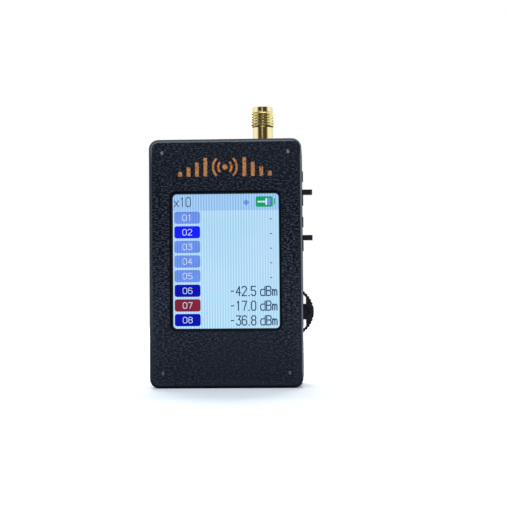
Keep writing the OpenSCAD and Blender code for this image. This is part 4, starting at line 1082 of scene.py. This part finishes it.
# Rows of the screen, measured from its upper left corner
ROW_FIRST = 6.25 * MM
ROW_PITCH = 3.84 * MM
PILL_LEFT = 0.48 * MM
PILL_W = 6.8 * MM
PILL_H = 3.22 * MM
PILL_R = 0.64 * MM
PILL_INKS = ["light", "blue", "light", "light", "light", "navy", "red", "navy"]
LABEL_SHIFT = 0.2 * MM
READINGS = {5: "-42.5 dBm", 6: "-17.0 dBm", 7: "-36.8 dBm"}
READING_RIGHT = 27.7 * MM
READING_DROP = 0.2 * MM
DASH_LEFT = 25.5 * MM
DASH_DROP = 1.3 * MM
FACTOR_LEFT = 0.5 * MM
FACTOR_BASE = 3.35 * MM

# Battery sign: ink, layer, then left, top, width, height and corner radius in millimetres
BATTERY_SIGN = [
    ("green", UNDER, (21.95, 0.85, 4.45, 2.75, 0.45)),
    ("green", UNDER, (26.7, 1.4, 0.3, 1.6, 0.1)),
    ("white", OVER, (22.45, 2.03, 2.1, 0.42, 0.1)),
    ("white", OVER, (24.5, 1.35, 0.4, 1.75, 0.1)),
    ("light", OVER, (25.0, 1.35, 0.85, 1.75, 0.12)),
]
DIAMOND_RIGHT = 19.42 * MM
DIAMOND_DOWN = 2.4 * MM
DIAMOND_HALF = 0.85 * MM


def row_middle(row):
    """How far the middle of a row lies below the screen's upper edge."""
    return ROW_FIRST + row * ROW_PITCH


def screen_pills():
    """The coloured field at the start of each row."""
    inks = sorted(set(PILL_INKS))
    bm = bmesh.new()
    for row, ink in enumerate(PILL_INKS):
        outline = round_outline(PILL_LEFT, row_middle(row) - PILL_H / 2, PILL_W, PILL_H, PILL_R)
        slab(bm, outline, UNDER, inks.index(ink))
    piece("screen_pills", bm, "case", "display_glass", *[INK[ink] for ink in inks])


def screen_labels():
    """The number in each coloured field."""
    left = PILL_LEFT + PILL_W / 2 - LABEL.pitch + LABEL_SHIFT
    bm = bmesh.new()
    for row in range(len(PILL_INKS)):
        write(bm, "%02d" % (row + 1), left, row_middle(row) + LABEL.height / 2, LABEL, OVER)
    piece("screen_labels", bm, "case", "display_glass", INK["white"])


def screen_readings():
    """A reading or a dash at the end of each row, and the factor in the bar along the top."""
    bm = bmesh.new()
    for row in range(len(PILL_INKS)):
        if row in READINGS:
            left = READING_RIGHT - sum(advance(letter, READING.pitch) for letter in READINGS[row])
            baseline = row_middle(row) + READING.height / 2 + READING_DROP
            write(bm, READINGS[row], left, baseline, READING, UNDER)
        else:
            write(bm, "-", DASH_LEFT, row_middle(row) + DASH_DROP, DASH, UNDER)
    write(bm, "x10", FACTOR_LEFT, FACTOR_BASE, FACTOR, UNDER)
    piece("screen_readings", bm, "case", "display_glass", INK["dark"])


def screen_icons():
    """A charging battery and a small diamond in the bar along the top."""
    inks = ["green", "white", "light"]
    bm = bmesh.new()
    for ink, layer, sizes in BATTERY_SIGN:
        slab(bm, round_outline(*[size * MM for size in sizes]), layer, inks.index(ink))
    corners = [(0, -DIAMOND_HALF), (DIAMOND_HALF, 0), (0, DIAMOND_HALF), (-DIAMOND_HALF, 0)]
    diamond = [on_screen(DIAMOND_RIGHT + right, DIAMOND_DOWN + down) for right, down in corners]
    slab(bm, diamond, UNDER, inks.index("light"))
    piece("screen_icons", bm, "case", "display_glass", *[INK[ink] for ink in inks])


screen_pills()
screen_labels()
screen_readings()
screen_icons()

# Contact strips of the charging socket
TONGUE_T = 0.7 * MM
STRIP_PITCH = 0.5 * MM
STRIP_W = 0.27 * MM
STRIP_L = 3.2 * MM
STRIP_PROUD = 0.02 * MM
STRIP_INSET = 0.35 * MM
STRIP_COUNT = 12


def usb_contacts():
    """Gold contact strips on both faces of the charging socket's tongue."""
    low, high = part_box("usb_tongue")
    middle = (low + high) / 2
    start_x = low.x + STRIP_INSET
    bm = bmesh.new()
    for side in (-1, 1):
        face = middle.y + side * TONGUE_T / 2
        low_y, high_y = sorted((face, face + side * STRIP_PROUD))
        for i in range(STRIP_COUNT):
            z = middle.z + (i - (STRIP_COUNT - 1) / 2) * STRIP_PITCH
            block(bm, (start_x, low_y, z - STRIP_W / 2), (start_x + STRIP_L, high_y, z + STRIP_W / 2))
    piece("usb_contacts", bm, "case", "gold_plate", GOLD)


usb_contacts()

# Camera, fitted to a picture that is 507 pixels wide and 510 high
SENSOR_W = 36
LENS = 87.6
CAMERA_PLACE = Vector((22.57, -331.0, 22.43)) * MM
CAMERA_TARGET = Vector((7.32, -11.0, 34.53)) * MM
CAMERA_ROLL = math.radians(-0.46)


def aimed(place, target):
    """The place of a camera or lamp, turned towards a target."""
    turn = (Vector(target) - Vector(place)).to_track_quat("-Z", "Y")
    return Matrix.Translation(place) @ turn.to_matrix().to_4x4()


def camera():
    """The photograph's viewing angle."""
    data = bpy.data.cameras.new("camera")
    data.sensor_fit = "HORIZONTAL"
    data.sensor_width = SENSOR_W
    data.lens = LENS
    obj = placed("camera", data)
    obj.matrix_world = aimed(CAMERA_PLACE, CAMERA_TARGET) @ Matrix.Rotation(CAMERA_ROLL, 4, "Z")
    bpy.context.scene.camera = obj


# Studio: colours of its light, and directions from -1 to 1 over which its walls change
DIM_WALL = (0.07, 0.053, 0.03, 1)
AMBIENT = (0.86, 0.93, 1.0, 1)
AMBIENT_STRENGTH = 0.5
COOL = (0.84, 0.92, 1.0)
NEUTRAL = (1, 1, 1)
BEHIND_CAMERA = (-0.72, -0.38)
OVERHEAD = (0.35, 0.55, 0.0, 0.8)
FAR_WALL = (0.3, 0.8, 1.0, 0.8)


class Sky(Nodes):
    """The world's light."""

    def __init__(self, name):
        world = bpy.data.worlds.new(name)
        bpy.context.scene.world = world
        world.use_nodes = True
        super().__init__(world.node_tree)
        self.tree.nodes.clear()
        self.path = self.add("LightPath").outputs
        self.axes = self.add("SeparateXYZ", {0: self.add("TexCoord").outputs["Generated"]}).outputs

    def light(self, colour, strength):
        """Light of one colour."""
        return self.add("Background", {"Color": colour, "Strength": strength}).outputs[0]

    def either(self, share, first, second):
        """The first light with a share of the second."""
        return self.add("MixShader", {0: share, 1: first, 2: second}).outputs[0]


def room():
    """A white room that is dark behind the camera, where only mirrored rays see its walls."""
    sky = Sky("studio")
    depth, height = sky.axes[1:]
    level = sky.math("MAXIMUM", sky.ramp(depth, *BEHIND_CAMERA), sky.ramp(height, *OVERHEAD))
    walls = sky.light(sky.mix(level, DIM_WALL, PURE_WHITE), sky.ramp(depth, *FAR_WALL))
    lighting = sky.either(sky.path["Is Glossy Ray"], sky.light(AMBIENT, AMBIENT_STRENGTH), walls)
    seen = sky.math("MAXIMUM", sky.path["Is Camera Ray"], sky.path["Is Transmission Ray"])
    sky.add("OutputWorld", {0: sky.either(seen, lighting, sky.light(PURE_WHITE, 1.0))})


def area_light(name, place, target, size, power, colour=NEUTRAL):
    """A rectangular lamp that faces a target."""
    data = bpy.data.lights.new(name, "AREA")
    data.shape = "RECTANGLE"
    data.size, data.size_y = size
    data.energy = power
    data.color = colour
    obj = placed(name, data)
    obj.matrix_world = aimed(place, target)
    return obj


def lamps():
    """Soft lights behind and above, and a small one in front."""
    back = area_light("back_light", place=(-0.03, 0.42, 0.45), target=(0, 0, 0.02),
                      size=(0.42, 0.5), power=5.2)
    back.visible_glossy = False
    area_light("top_light", place=(0.0, -0.3, 0.6), target=(0, 0, 0.03),
               size=(0.9, 0.34), power=1.9, colour=COOL)
    area_light("front_strip", place=(-0.03, -0.6, 0.19), target=(0, 0, 0.07),
               size=(0.14, 0.1), power=0.024)


# Floor: its size, its colours, and where its mirrored shade and its glow change
FLOOR_HALF = 3.0
FLOOR_CELLS = 8
FLOOR_PATCH = 0.4
FLOOR_DARKER = (0.8, 0.81, 0.83, 1)
FLOOR_PALER = (0.82, 0.83, 0.84, 1)
FLOOR_MIRRORED = (0.02, 0.02, 0.02, 1)
MIRRORED_SHADE = (FACE_Y, 0.0, 0.95, 0.0)
FLOOR_GLOW = (0.15, 0.5, 0.13, 0.7)


def floor_white():
    """Pale floor that shows white to the camera, and dark in mirrors in front of the object."""
    f = Finish("floor_white", roughness=0.6, specular_ior_level=0.0)
    path = f.add("LightPath").outputs
    pale = f.mix(f.noise(FLOOR_PATCH), FLOOR_DARKER, FLOOR_PALER)
    mirrored = f.product(path["Is Glossy Ray"], f.ramp(f.split()[1], *MIRRORED_SHADE))
    f.set("Base Color", f.mix(mirrored, pale, FLOOR_MIRRORED))
    reach = f.add("VectorMath", {0: f.place}, operation="LENGTH").outputs["Value"]
    shown = f.product(path["Is Camera Ray"], f.ramp(reach, *FLOOR_GLOW))
    f.glow(f.mix(shown, BLACK, PURE_WHITE))
    return f.material


def floor():
    """A plain floor that takes the object's shadow."""
    bm = bmesh.new()
    bmesh.ops.create_grid(bm, x_segments=FLOOR_CELLS, y_segments=FLOOR_CELLS, size=FLOOR_HALF)
    mesh = bpy.data.meshes.new("floor")
    bm.to_mesh(mesh)
    bm.free()
    mesh.materials.append(floor_white())
    obj = placed("floor", mesh)


camera()
room()
lamps()
floor()
bpy.context.scene.view_settings.view_transform = "Standard"
